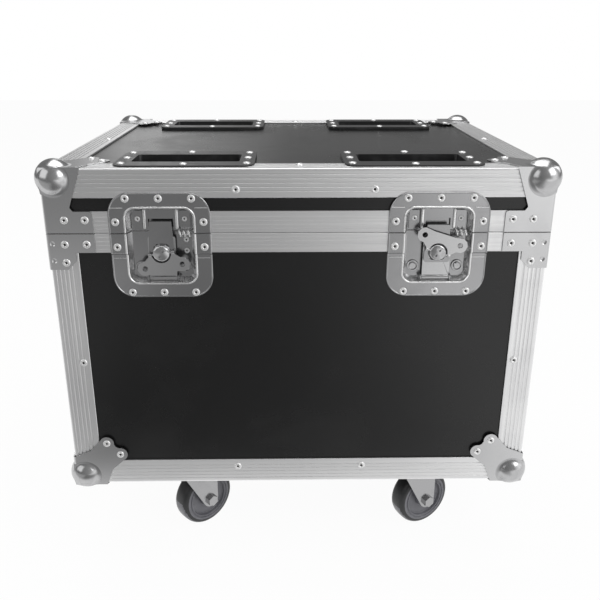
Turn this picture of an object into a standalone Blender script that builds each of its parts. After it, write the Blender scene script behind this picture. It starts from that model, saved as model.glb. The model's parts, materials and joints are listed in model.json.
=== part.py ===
"""Hard equipment case: plywood in aluminium edging, hinged lid, twist latches, handles and castors.

Metres, +Z up. The case stands on the floor at Z = 0 with its front towards -Y.
Run with: blender --background --python part.py
"""

import math

import bmesh
import bpy
from mathutils import Matrix, Vector

# Overall size, over the outer faces of the aluminium edging
CASE_WIDTH = 0.520
CASE_DEPTH = 0.420
BASE_HEIGHT = 0.3015
LID_HEIGHT = 0.0665
FLOOR_CLEARANCE = 0.105

# Plywood, and the clearance that pieces keep where they touch
PLYWOOD = 0.009
SEAT = 0.0003

# Aluminium angle along the outer edges
EDGE_LEG = 0.030
EDGE_WALL = 0.002
FLUTE_COUNT = 3
FLUTE_PITCH = 0.0070
FLUTE_WIDTH = 0.0016
FLUTE_DEPTH = 0.0005
EDGE_ROUND = 0.0022
UPRIGHT_LAP = 0.010
UPRIGHT_INSET = 0.0002

# Tongue and groove rims where the lid meets the base
BASE_RIM_LEG = 0.0207
LID_RIM_LEG = 0.023
RIM_SEAT = 0.008
RIM_INNER_LEG = 0.017
RIM_INNER_WALL = 0.0015
GROOVE_START = 0.004
GROOVE_WIDTH = 0.0055
GROOVE_DEPTH = 0.005
TONGUE_START = 0.005
TONGUE_WIDTH = 0.0035
TONGUE_LENGTH = 0.0038
TONGUE_TAPER = 0.0003

# Pressed steel ball corners and braces
SHEET = 0.0012
BALL_RADIUS = 0.0195
BALL_PROUD = 0.0085
BALL_WALL = 0.002
BALL_SEGMENTS = 16
BALL_RINGS = 8
EDGE_RELIEF_GAP = 0.0004
EAR_REACH = 0.0535
EAR_INSET = 0.039
EAR_RADIUS = 0.008
EAR_VALLEY = 0.0488
EAR_SWEEP = 0.004
EAR_SWEEP_RISE = 0.022
CORNER_FOOT = 0.0355
CORNER_RIM_REACH = 0.0485
CORNER_TOP_REACH = 0.0405
CORNER_NECK_REACH = 0.0262
CORNER_NECK_FLARE = 0.003
CORNER_NECK_GAP = 0.004
CORNER_ROUND = 0.003
BRACE_TAB_REACH = 0.0275
BRACE_TAB_DROP = 0.0184
BRACE_CHAMFER = 0.009
PLATE_STAGGER = 0.0001
PLATE_TIP_DEPTH = 0.0007

# Twist latches
LATCH_END_INSET = 0.1163
LATCH_WIDTH = 0.1038
LATCH_RISE = 0.042
LATCH_DROP = 0.070
LATCH_ROUND = 0.022
PAN_HALF_WIDTH = 0.0347
PAN_RISE = 0.026
PAN_DROP = 0.054
PAN_ROUND = 0.010
PAN_DEPTH = 0.0095
JOGGLE_RUN = 0.0018
CATCH_HALF_WIDTH = 0.0182
CATCH_DEPTH = 0.006
CATCH_BASE = 0.0015
CATCH_RISE = 0.024
CATCH_SLOT_HALF_WIDTH = 0.0147
CATCH_SLOT_BASE = 0.0052
CATCH_SLOT_RISE = 0.0137
PIVOT_DROP = 0.0495
PIVOT_DEPTH = 0.004
PIVOT_PIN_RADIUS = 0.0015
PIVOT_EAR_GAP = 0.0004
PIVOT_EAR_WALL = 0.0014
ARM_HALF_WIDTH = 0.0143
ARM_WALL = 0.002
ARM_REACH = 0.0455
ARM_KNUCKLE_RADIUS = 0.0026
ARM_ROUND = 0.003
HOOK_HALF_WIDTH = 0.0137
HOOK_WALL = 0.002
HOOK_REACH = 0.0308
HOOK_TAIL = 0.0095
HOOK_LIP = 0.0016
HOOK_LIP_GAP = 0.0004
HOOK_LIP_INSET = 0.001
HOOK_LIP_SKIN = 0.0005
HOOK_ROUND = 0.003
HOOK_TIP_ROUND = 0.001
BOSS_DROP = 0.021
BOSS_RADIUS = 0.0098
BOSS_FACE_RADIUS = 0.0086
BOSS_PROUD = 0.0055
BOSS_DOME = 0.0016
BOSS_CROWN_RADIUS = 0.0072
BOSS_CROWN_DROP = 0.0005
SHAFT_RADIUS = 0.004
COLLAR_RADIUS = 0.0065
COLLAR_WALL = 0.0012
CAM_RADIUS = 0.006
CAM_THROW = 0.0023
CAM_SLOT_PLAY = 0.0009
CAM_SLOT_ROUND = 0.004
RUNNING_GAP = 0.0004
WING_WALL = 0.0016
WING_LEVEL = 0.003
WING_HOLE_SPREAD = 0.0195
WING_HOLE_REACH = 0.014
WING_LOBE_RADIUS = 0.008
WING_EDGE_REACH = 0.0205
WING_ROOT = 0.002
WING_HOLE_RADIUS = 0.003
WING_PIN_RADIUS = 0.001
WING_BARREL_RADIUS = 0.0019
WING_BARREL_LENGTH = 0.003
WING_TURN = {"left": math.radians(7.4), "right": math.radians(162.4)}

# Rear hinges
HINGE_END_INSET = 0.110
HINGE_LENGTH = 0.064
HINGE_LEAF = 0.002
HINGE_KNUCKLE_RADIUS = 0.003
HINGE_PIN_RADIUS = 0.0018
HINGE_PIN_PLAY = 0.00015
HINGE_OUTER_KNUCKLE = 0.016
HINGE_LEAF_RELIEF = 0.0036
HINGE_LEAF_MARGIN = 0.001
HINGE_ROUND = 0.004

# Recessed side handles
HANDLE_HEIGHT = 0.165
HANDLE_WIDTH = 0.146
HANDLE_RISE = 0.104
HANDLE_ROUND = 0.014
HANDLE_PAN_HALF_WIDTH = 0.058
HANDLE_PAN_HALF_RISE = 0.037
HANDLE_PAN_ROUND = 0.008
HANDLE_PAN_DEPTH = 0.0143
BAIL_PIVOT_RISE = 0.022
BAIL_DEPTH = 0.007
BAIL_RADIUS = 0.0038
BAIL_HALF_WIDTH = 0.0475
BAIL_DROP = 0.044
BAIL_BEND = 0.010
GRIP_RADIUS = 0.0066
GRIP_HALF_LENGTH = 0.036
BAIL_EAR_WALL = 0.003
BAIL_EAR_HALF_RISE = 0.0075

# Stacking cups in the lid, which take the wheels of a case on top
CUP_END_INSET = 0.141
CUP_INSET = 0.0555
CUP_WIDTH = 0.145
CUP_LENGTH = 0.094
CUP_ROUND = 0.012
CUP_HOLE_WIDTH = 0.113
CUP_HOLE_LENGTH = 0.046
CUP_HOLE_ROUND = 0.003
CUP_DEPTH = 0.022

# Castors
CASTOR_END_INSET = 0.121
CASTOR_INSET = 0.060
CASTOR_PLATE = 0.058
CASTOR_PLATE_WALL = 0.003
CASTOR_PLATE_ROUND = 0.006
RACE_RADIUS = 0.021
RACE_HEIGHT = 0.004
KINGPIN_RADIUS = 0.005
KINGPIN_HEAD_RADIUS = 0.0085
KINGPIN_HEAD = 0.004
CROWN_RADIUS = 0.025
CROWN_WALL = 0.0032
FORK_TRAIL = 0.020
FORK_WALL = 0.0028
FORK_BACK = 0.021
FORK_AXLE_BOSS = 0.0105
WHEEL_RADIUS = 0.0375
WHEEL_HALF_WIDTH = 0.012
WHEEL_SHOULDER = 0.005
WHEEL_WEB_HALF_WIDTH = 0.0085
WHEEL_RIM_RADIUS = 0.026
WHEEL_HUB_RADIUS = 0.011
WHEEL_HUB_HALF_WIDTH = 0.0145
WHEEL_STEPS = 24
AXLE_RADIUS = 0.004
AXLE_NUT_RADIUS = 0.0072
AXLE_NUT = 0.005
CASTOR_TURN = {
    "front_left": math.radians(41.0),
    "front_right": math.radians(27.0),
    "back_left": math.radians(18.0),
    "back_right": math.radians(52.0),
}

# Levels and half sizes that follow from the sizes above
HALF_WIDTH = CASE_WIDTH / 2
HALF_DEPTH = CASE_DEPTH / 2
LATCH_SPREAD = HALF_WIDTH - LATCH_END_INSET
HINGE_SPREAD = HALF_WIDTH - HINGE_END_INSET
CUP_SPREAD = HALF_WIDTH - CUP_END_INSET
CASTOR_SPREAD = HALF_WIDTH - CASTOR_END_INSET
BASE_BOTTOM = FLOOR_CLEARANCE
SPLIT = BASE_BOTTOM + BASE_HEIGHT
LID_TOP = SPLIT + LID_HEIGHT
PANEL_INSET = EDGE_WALL + SEAT
PANEL_INNER = PANEL_INSET + PLYWOOD
RIM_INNER = PANEL_INNER + SEAT
SPLIT_HALF_GAP = SEAT / 2
SHEET_OUTER = SEAT + SHEET
HINGE_AXIS_OUT = SEAT + HINGE_KNUCKLE_RADIUS
SIDES = {"left": -1, "right": 1}
CORNERS = {
    "front_left": (-1, -1),
    "front_right": (1, -1),
    "back_left": (-1, 1),
    "back_right": (1, 1),
}
ROUND_STEPS = 12
OVERSHOOT = 0.005


def clear_scene():
    for obj in list(bpy.data.objects):
        bpy.data.objects.remove(obj, do_unlink=True)


def new_collection(name):
    collection = bpy.data.collections.new(name)
    bpy.context.scene.collection.children.link(collection)
    return collection


def make_material(name, colour, roughness, metallic):
    material = bpy.data.materials.new(name)
    material.use_nodes = True
    shader = material.node_tree.nodes["Principled BSDF"]
    shader.inputs["Base Color"].default_value = (*colour, 1.0)
    shader.inputs["Roughness"].default_value = roughness
    shader.inputs["Metallic"].default_value = metallic
    return material


clear_scene()
PARTS = new_collection("equipment_case")
CUTTERS = new_collection("cutters")
ALUMINIUM = make_material("brushed_aluminium", (0.74, 0.74, 0.75), 0.35, 1.0)
ZINC = make_material("zinc_plated_steel", (0.62, 0.63, 0.65), 0.30, 1.0)
LAMINATE = make_material("black_laminated_plywood", (0.012, 0.012, 0.013), 0.42, 0.0)
BLACK_STEEL = make_material("black_painted_steel", (0.020, 0.020, 0.022), 0.40, 0.0)
TYRE = make_material("dark_rubber_tyre", (0.025, 0.026, 0.028), 0.65, 0.0)


def welded(bm, name):
    """Mesh of a bmesh with its doubles merged and its faces turned outwards."""
    bmesh.ops.remove_doubles(bm, verts=bm.verts, dist=1e-6)
    bmesh.ops.recalc_face_normals(bm, faces=bm.faces)
    mesh = bpy.data.meshes.new(name)
    bm.to_mesh(mesh)
    bm.free()
    return mesh


def evaluated_mesh(data, modifier=None):
    """Welded mesh of a curve, or of a profile under one modifier, that is only needed once."""
    holder = bpy.data.objects.new("shape", data)
    PARTS.objects.link(holder)
    if modifier:
        modifier(holder)
    graph = bpy.context.evaluated_depsgraph_get()
    raw = bpy.data.meshes.new_from_object(holder.evaluated_get(graph))
    bpy.data.objects.remove(holder, do_unlink=True)
    bm = bmesh.new()
    bm.from_mesh(raw)
    bpy.data.meshes.remove(raw)
    return welded(bm, "shape")


def plate(outline, near, far, frame=Matrix()):
    """Flat plate with an outline in the frame's XY plane, between two levels along its Z."""
    curve = bpy.data.curves.new("outline", "CURVE")
    curve.dimensions = "2D"
    curve.fill_mode = "BOTH"
    curve.extrude = (far - near) / 2
    spline = curve.splines.new("POLY")
    spline.points.add(len(outline) - 1)
    for point, (x, y) in zip(spline.points, outline):
        point.co = (x, y, 0.0, 1.0)
    spline.use_cyclic_u = True
    mesh = evaluated_mesh(curve)
    mesh.transform(frame @ Matrix.Translation((0, 0, (near + far) / 2)))
    return mesh


def turned(profile, frame=Matrix(), steps=ROUND_STEPS, closed=False):
    """Solid of (radius, height) points listed from top to bottom, turned about the frame's Z."""
    data = bpy.data.meshes.new("profile")
    edges = [(i, i + 1) for i in range(len(profile) - 1)]
    if closed:
        edges.append((len(profile) - 1, 0))
    data.from_pydata([(radius, 0, height) for radius, height in profile], edges, [])

    def screw(holder):
        modifier = holder.modifiers.new("turn", "SCREW")
        modifier.steps = steps
        modifier.render_steps = steps
        modifier.use_merge_vertices = True
        modifier.merge_threshold = 1e-6

    mesh = evaluated_mesh(data, screw)
    mesh.transform(frame)
    return mesh


def cylinder(radius, near, far, frame=Matrix(), steps=ROUND_STEPS):
    bm = bmesh.new()
    bmesh.ops.create_cone(
        bm, cap_ends=True, segments=steps, radius1=radius, radius2=radius, depth=far - near,
        matrix=frame @ Matrix.Translation((0, 0, (near + far) / 2)),
    )
    return welded(bm, "cylinder")


def box(low, high, frame=Matrix()):
    low, high = Vector(low), Vector(high)
    bm = bmesh.new()
    bmesh.ops.create_cube(bm, size=1.0)
    size = Matrix.Diagonal((*(high - low), 1.0))
    bmesh.ops.transform(bm, verts=bm.verts, matrix=frame @ Matrix.Translation((low + high) / 2) @ size)
    return welded(bm, "box")


def sphere(radius, centre):
    bm = bmesh.new()
    bmesh.ops.create_uvsphere(
        bm, u_segments=BALL_SEGMENTS, v_segments=BALL_RINGS, radius=radius, matrix=Matrix.Translation(centre)
    )
    return welded(bm, "sphere")


def rod(points, radius):
    """Round bar along a route, with flat ends."""
    curve = bpy.data.curves.new("rod", "CURVE")
    curve.dimensions = "3D"
    curve.bevel_depth = radius
    curve.bevel_resolution = 2
    curve.use_fill_caps = True
    spline = curve.splines.new("POLY")
    spline.points.add(len(points) - 1)
    for point, place in zip(spline.points, points):
        point.co = (*place, 1.0)
    return evaluated_mesh(curve)


def mitred_ring(section, level):
    """Four lengths of one extrusion, mitred at the case's corners.

    The section is a loop of (inwards, upwards) points from the case's outer face and the level.
    """
    bm = bmesh.new()
    loops = []
    for side_x, side_y in ((-1, -1), (1, -1), (1, 1), (-1, 1)):
        verts = []
        for inwards, upwards in section:
            place = (side_x * (HALF_WIDTH - inwards), side_y * (HALF_DEPTH - inwards), level + upwards)
            verts.append(bm.verts.new(place))
        loops.append([bm.edges.new((verts[i - 1], verts[i])) for i in range(len(verts))])
    for here, there in zip(loops, loops[1:] + loops[:1]):
        bmesh.ops.bridge_loops(bm, edges=here + there)
    return welded(bm, "mitred_ring")


def trimmed(mesh, point, normal):
    """Closed mesh without what lies beyond a plane."""
    bm = bmesh.new()
    bm.from_mesh(mesh)
    everything = list(bm.verts) + list(bm.edges) + list(bm.faces)
    result = bmesh.ops.bisect_plane(
        bm, geom=everything, dist=1e-7, plane_co=point, plane_no=normal, clear_outer=True
    )
    rim = [item for item in result["geom_cut"] if isinstance(item, bmesh.types.BMEdge)]
    if rim:
        bmesh.ops.edgeloop_fill(bm, edges=rim)
    return welded(bm, mesh.name)


def corner_place(side_x, side_y, upward):
    """One corner of the lid's top or of the base's underside."""
    return Vector((side_x * HALF_WIDTH, side_y * HALF_DEPTH, LID_TOP if upward > 0 else BASE_BOTTOM))


def ball_centre(side_x, side_y, upward):
    """Centre of a corner's ball, from the case's corner."""
    return Vector((side_x, side_y, upward)) * (BALL_PROUD - BALL_RADIUS)


def corner_trimmed(mesh, side_x, side_y, upward, depth, corner=Vector()):
    """Mesh with its tip cut off so far below the ball's surface, square to the corner's diagonal."""
    diagonal = Vector((side_x, side_y, upward)).normalized()
    centre = corner + ball_centre(side_x, side_y, upward)
    return trimmed(mesh, centre + diagonal * (BALL_RADIUS - depth), diagonal)


def relieved(ring, upward):
    """Edge frame with its four tips cut back inside the ball corners."""
    for side_x, side_y in CORNERS.values():
        corner = corner_place(side_x, side_y, upward)
        ring = corner_trimmed(ring, side_x, side_y, upward, BALL_WALL + EDGE_RELIEF_GAP, corner)
    return ring


def arc(centre, radius, start, end, steps):
    """Points on an arc, with its angles in degrees."""
    angles = [math.radians(start + (end - start) * i / steps) for i in range(steps + 1)]
    return [(centre[0] + radius * math.cos(a), centre[1] + radius * math.sin(a)) for a in angles]


def curve_points(start, control, end, steps):
    """Points of a quadratic curve, without its start."""
    points = []
    for i in range(1, steps + 1):
        t = i / steps
        points.append(tuple((1 - t) ** 2 * a + 2 * t * (1 - t) * b + t * t * c
                            for a, b, c in zip(start, control, end)))
    return points


def rounded_rectangle(left, bottom, right, top, radii, steps=3):
    """Outline with its own radius at each corner, from the bottom left, anticlockwise."""
    corners = ((left, bottom, 1, 1, 180), (right, bottom, -1, 1, 270),
               (right, top, -1, -1, 0), (left, top, 1, -1, 90))
    outline = []
    for (x, y, to_x, to_y, start), radius in zip(corners, radii):
        if radius:
            outline += arc((x + to_x * radius, y + to_y * radius), radius, start, start + 90, steps)
        else:
            outline.append((x, y))
    return outline


def fluted(start, direction, inward, length):
    """Points along a straight face with shallow flutes, centred on its length."""
    points = []
    first = (length - (FLUTE_COUNT - 1) * FLUTE_PITCH) / 2
    for i in range(FLUTE_COUNT):
        middle = first + i * FLUTE_PITCH
        for along, deep in ((-FLUTE_WIDTH / 2, 0.0), (0.0, FLUTE_DEPTH), (FLUTE_WIDTH / 2, 0.0)):
            step = middle + along
            points.append((start[0] + direction[0] * step + inward[0] * deep,
                           start[1] + direction[1] * step + inward[1] * deep))
    return points


def angle_section(skin=0.0):
    """Section of the edge angle: legs along +X and +Y from its outer corner, thinned by skin."""
    leg, low, high = EDGE_LEG, skin, EDGE_WALL - skin
    across = fluted((0, low), (1, 0), (0, 1), leg)
    upward = fluted((low, leg), (0, -1), (1, 0), leg)
    nose = arc((low + EDGE_ROUND, low + EDGE_ROUND), EDGE_ROUND, 180, 270, 3)
    return nose + across + [(leg, low), (leg, high), (high, high), (high, leg), (low, leg)] + upward


def face_frame(face, across=0.0, up=0.0):
    """Frame on an outer face of the case: X across it, Y up it and Z out of it."""
    axes = {
        "front": ((1, 0, 0), (0, 0, 1), (0, -1, 0), (0, -HALF_DEPTH, 0)),
        "back": ((-1, 0, 0), (0, 0, 1), (0, 1, 0), (0, HALF_DEPTH, 0)),
        "left": ((0, -1, 0), (0, 0, 1), (-1, 0, 0), (-HALF_WIDTH, 0, 0)),
        "right": ((0, 1, 0), (0, 0, 1), (1, 0, 0), (HALF_WIDTH, 0, 0)),
        "top": ((1, 0, 0), (0, 1, 0), (0, 0, 1), (0, 0, LID_TOP)),
    }
    x_axis, y_axis, z_axis, place = (Vector(v) for v in axes[face])
    place = place + x_axis * across + y_axis * up
    return Matrix((
        (x_axis.x, y_axis.x, z_axis.x, place.x),
        (x_axis.y, y_axis.y, z_axis.y, place.y),
        (x_axis.z, y_axis.z, z_axis.z, place.z),
        (0, 0, 0, 1),
    ))


def empty(name, frame, parent=None):
    """Joint frame: an empty on the joint, under the empty of the body that carries it."""
    obj = bpy.data.objects.new(name, None)
    PARTS.objects.link(obj)
    if parent:
        obj.parent = parent
        obj.matrix_parent_inverse = parent.matrix_world.inverted()
    obj.matrix_world = frame
    bpy.context.view_layer.update()
    return obj


def add_part(name, mesh, material, body=None, local=False, place=Vector()):
    """Named sub-part. A body's part is given in the world's frame, or in the body's if local."""
    obj = bpy.data.objects.new(name, mesh)
    mesh.name = name
    mesh.materials.append(material)
    obj.location = place
    PARTS.objects.link(obj)
    if body:
        obj.parent = body
        if not local:
            obj.matrix_parent_inverse = body.matrix_world.inverted()
    return obj


def combine(obj, operation, mesh):
    """Boolean with a hidden tool object that shares the part's own frame."""
    tool = bpy.data.objects.new(f"{obj.name}_tool_{len(obj.modifiers)}", mesh)
    CUTTERS.objects.link(tool)
    tool.parent = obj.parent
    tool.matrix_parent_inverse = obj.matrix_parent_inverse
    tool.location = obj.location
    tool.hide_render = True
    tool.display_type = "WIRE"
    modifier = obj.modifiers.new(operation.lower(), "BOOLEAN")
    modifier.operation = operation
    modifier.solver = "EXACT"
    modifier.object = tool


def join(obj, *meshes):
    for mesh in meshes:
        combine(obj, "UNION", mesh)


def cut(obj, *meshes):
    for mesh in meshes:
        combine(obj, "DIFFERENCE", mesh)


def corner_copy(mesh, side_x, side_y):
    """Move a shape made for the +X +Y corner to another corner."""
    mesh.transform(Matrix.Diagonal((side_x, side_y, 1, 1)))
    if side_x * side_y < 0:
        mesh.flip_normals()
    return mesh


# Plywood panels and aluminium edging


def latch_recess(spread):
    """Clearance round one latch's pan, through the rims and the front panels."""
    half = PAN_HALF_WIDTH + SHEET + SEAT
    frame = face_frame("front", spread, SPLIT)
    deep = PAN_DEPTH + SHEET + SEAT
    low = -(PAN_DROP + SHEET + SEAT)
    high = PAN_RISE + SHEET + SEAT
    return box((-half, low, -deep), (half, high, OVERSHOOT), frame)


def panel_recess(spread):
    """Opening through the front panels for one latch's pan."""
    half = PAN_HALF_WIDTH + SHEET + SEAT
    frame = face_frame("front", spread, SPLIT)
    low = -(PAN_DROP + SHEET + SEAT)
    high = PAN_RISE + SHEET + SEAT
    return box((-half, low, -PANEL_INNER - OVERSHOOT), (half, high, OVERSHOOT), frame)


def handle_opening(face):
    half = HANDLE_PAN_HALF_WIDTH + SHEET + SEAT
    rise = HANDLE_PAN_HALF_RISE + SHEET + SEAT
    frame = face_frame(face, 0.0, BASE_BOTTOM + HANDLE_HEIGHT)
    return box((-half, -rise, -PANEL_INNER - OVERSHOOT), (half, rise, OVERSHOOT), frame)


def make_base_panels():
    outer_x = HALF_WIDTH - PANEL_INSET
    outer_y = HALF_DEPTH - PANEL_INSET
    floor_low = BASE_BOTTOM + PANEL_INSET
    floor_high = floor_low + PLYWOOD
    wall_high = SPLIT - RIM_SEAT - SEAT
    floor_x = outer_x - PLYWOOD - SEAT
    floor_y = outer_y - PLYWOOD - SEAT
    floor = box((-floor_x, -floor_y, floor_low), (floor_x, floor_y, floor_high))
    add_part("base_floor_panel", floor, LAMINATE)
    for name, side in (("front", -1), ("back", 1)):
        near, far = sorted((side * outer_y, side * (outer_y - PLYWOOD)))
        wall = box((-outer_x, near, floor_low), (outer_x, far, wall_high))
        panel = add_part(f"base_{name}_panel", wall, LAMINATE)
        if name == "front":
            cut(panel, *(panel_recess(side_x * LATCH_SPREAD) for side_x in SIDES.values()))
    for name, side in SIDES.items():
        near, far = sorted((side * outer_x, side * (outer_x - PLYWOOD)))
        wall = box((near, -floor_y, floor_low), (far, floor_y, wall_high))
        panel = add_part(f"base_{name}_panel", wall, LAMINATE)
        cut(panel, handle_opening(name))


def make_base_edging():
    ring = add_part("base_edge_frame", relieved(mitred_ring(angle_section(), BASE_BOTTOM), -1), ALUMINIUM)
    low = BASE_BOTTOM + EDGE_LEG - UPRIGHT_LAP
    high = SPLIT - BASE_RIM_LEG - SEAT
    for side_x, side_y in CORNERS.values():
        outline = [(HALF_WIDTH - x, HALF_DEPTH - y) for x, y in angle_section(UPRIGHT_INSET)]
        join(ring, corner_copy(plate(outline, low, high), side_x, side_y))


def make_base_rim():
    inner = RIM_INNER + RIM_INNER_WALL
    groove_end = GROOVE_START + GROOVE_WIDTH
    top = -SPLIT_HALF_GAP
    section = [
        (0, top), (0, -BASE_RIM_LEG), (EDGE_WALL, -BASE_RIM_LEG), (EDGE_WALL, -RIM_SEAT),
        (RIM_INNER, -RIM_SEAT), (RIM_INNER, -RIM_INNER_LEG), (inner, -RIM_INNER_LEG), (inner, top),
        (groove_end, top), (groove_end, -GROOVE_DEPTH), (GROOVE_START, -GROOVE_DEPTH), (GROOVE_START, top),
    ]
    rim = add_part("base_rim_frame", mitred_ring(section, SPLIT), ALUMINIUM)
    cut(rim, *(latch_recess(side * LATCH_SPREAD) for side in SIDES.values()))


def make_lid_shell(lid):
    outer_x = HALF_WIDTH - PANEL_INSET
    outer_y = HALF_DEPTH - PANEL_INSET
    top_high = LID_TOP - PANEL_INSET
    top_low = top_high - PLYWOOD
    top = box((-outer_x, -outer_y, top_low), (outer_x, outer_y, top_high))
    panel = add_part("lid_top_panel", top, LAMINATE, lid)
    cut(panel, *(cup_opening(*corner) for corner in CORNERS.values()))
    wall_low = RIM_SEAT + SEAT
    wall_high = top_low - SEAT - SPLIT
    wall_section = [(PANEL_INSET, wall_low), (PANEL_INNER, wall_low), (PANEL_INNER, wall_high),
                    (PANEL_INSET, wall_high)]
    walls = add_part("lid_wall_ring", mitred_ring(wall_section, SPLIT), LAMINATE, lid)
    cut(walls, *(latch_recess(side * LATCH_SPREAD) for side in SIDES.values()))

    top_section = [(x, -y) for x, y in angle_section()]
    add_part("lid_edge_frame", relieved(mitred_ring(top_section, LID_TOP), 1), ALUMINIUM, lid)
    inner = RIM_INNER + RIM_INNER_WALL
    low = SPLIT_HALF_GAP
    tongue_end = TONGUE_START + TONGUE_WIDTH
    rim_section = [
        (0, low), (0, LID_RIM_LEG), (EDGE_WALL, LID_RIM_LEG), (EDGE_WALL, RIM_SEAT),
        (RIM_INNER, RIM_SEAT), (RIM_INNER, RIM_INNER_LEG), (inner, RIM_INNER_LEG), (inner, low),
        (tongue_end, low), (tongue_end - TONGUE_TAPER, -TONGUE_LENGTH),
        (TONGUE_START + TONGUE_TAPER, -TONGUE_LENGTH), (TONGUE_START, low),
    ]
    rim = add_part("lid_rim_frame", mitred_ring(rim_section, SPLIT), ALUMINIUM, lid)
    cut(rim, *(latch_recess(side * LATCH_SPREAD) for side in SIDES.values()))


# Ball corners and braces


def ear_outline(start):
    """Plate with two riveted ears, measured from the case's corner along two edges."""
    ear = (EAR_REACH, EAR_INSET)
    foot = (CORNER_FOOT, 0.0)
    ear_arc = arc(ear, EAR_RADIUS, -55, 100, 3)
    half = [(CORNER_FOOT, start), foot]
    half += curve_points(foot, (CORNER_FOOT + EAR_SWEEP, EAR_SWEEP_RISE), ear_arc[0], 2) + ear_arc[1:]
    return [(start, start)] + half + [(EAR_VALLEY, EAR_VALLEY)] + [(y, x) for x, y in reversed(half)]


def lid_corner_outline(start):
    """Side plate of a lid corner: (from the case's corner, up from the closing line)."""
    reach = CORNER_RIM_REACH
    outline = [(start, SEAT * 2), (reach, SEAT * 2)]
    outline += arc((reach - CORNER_ROUND, LID_RIM_LEG - CORNER_ROUND), CORNER_ROUND, 0, 90, 3)
    outline += [(CORNER_NECK_REACH + CORNER_NECK_FLARE, LID_RIM_LEG)]
    outline += [(CORNER_NECK_REACH, LID_RIM_LEG + CORNER_NECK_GAP)]
    return outline + [(CORNER_TOP_REACH, LID_HEIGHT - start), (start, LID_HEIGHT - start)]


def brace_outline(start):
    """Side plate of a base brace: (from the case's corner, up from the closing line)."""
    low = -(BASE_RIM_LEG - SEAT)
    foot = low - BRACE_TAB_DROP
    return [
        (start, foot), (BRACE_TAB_REACH - BRACE_CHAMFER, foot), (BRACE_TAB_REACH, foot + BRACE_CHAMFER),
        (BRACE_TAB_REACH, low), (CORNER_RIM_REACH, low), (CORNER_RIM_REACH, -SEAT * 2), (start, -SEAT * 2),
    ]


def corner_sides(outline, level):
    """The two upright plates of a corner piece, about the +X +Y corner that its faces meet at."""
    starts = (-SHEET_OUTER + PLATE_STAGGER, -SHEET_OUTER + 2 * PLATE_STAGGER)
    on_y = Matrix(((-1, 0, 0, 0), (0, 0, 1, 0), (0, 1, 0, level), (0, 0, 0, 1)))
    on_x = Matrix(((0, 0, 1, 0), (-1, 0, 0, 0), (0, 1, 0, level), (0, 0, 0, 1)))
    meshes = []
    for start, frame in zip(starts, (on_y, on_x)):
        mesh = plate(outline(start), SEAT, SHEET_OUTER, frame)
        if frame.determinant() < 0:
            mesh.flip_normals()
        meshes.append(mesh)
    return meshes


def make_ball_corner(name, corner, level, upward, outline, body=None):
    """Pressed corner: two side plates, an end plate and the ball, hollowed where the case fits."""
    side_x, side_y = CORNERS[corner]
    start = -SHEET_OUTER + 3 * PLATE_STAGGER
    flat = [(-x, -y) for x, y in ear_outline(start)]
    near, far = sorted((upward * SEAT, upward * SHEET_OUTER))
    plates = corner_sides(outline, level) + [plate(flat, near, far)]
    sides = []
    for mesh in plates:
        mesh = corner_copy(mesh, side_x, side_y)
        sides.append(corner_trimmed(mesh, side_x, side_y, upward, PLATE_TIP_DEPTH))
    piece = add_part(name, sides[0], ZINC, body, place=corner_place(side_x, side_y, upward))
    join(piece, *sides[1:], sphere(BALL_RADIUS, ball_centre(side_x, side_y, upward)))
    reach = 2 * BALL_RADIUS
    low, high = sorted((upward * SEAT, -upward * reach))
    case = corner_copy(box((-reach, -reach, low), (SEAT, SEAT, high)), side_x, side_y)
    cut(piece, corner_trimmed(case, side_x, side_y, upward, BALL_WALL))


def make_base_corners():
    for corner, (side_x, side_y) in CORNERS.items():
        make_ball_corner(f"base_ball_corner_{corner}", corner, 0.0, -1, ear_outline)
        sides = [corner_copy(mesh, side_x, side_y) for mesh in corner_sides(brace_outline, 0.0)]
        place = Vector((side_x * HALF_WIDTH, side_y * HALF_DEPTH, SPLIT))
        join(add_part(f"base_corner_brace_{corner}", sides[0], ZINC, place=place), sides[1])


def make_lid_corners(lid):
    for corner in CORNERS:
        make_ball_corner(f"lid_ball_corner_{corner}", corner, -LID_HEIGHT, 1, lid_corner_outline, lid)


# Stacking cups


def cup_frame(side_x, side_y):
    return face_frame("top", side_x * CUP_SPREAD, side_y * (HALF_DEPTH - CUP_INSET))


def cup_opening(side_x, side_y):
    half = CUP_HOLE_WIDTH / 2 + SHEET + SEAT
    rise = CUP_HOLE_LENGTH / 2 + SHEET + SEAT
    deep = PANEL_INNER + OVERSHOOT
    return box((-half, -rise, -deep), (half, rise, OVERSHOOT), cup_frame(side_x, side_y))


def centred_outline(width, length, radius, grow=0.0):
    half, rise = width / 2 + grow, length / 2 + grow
    return rounded_rectangle(-half, -rise, half, rise, [radius + grow] * 4)


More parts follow.
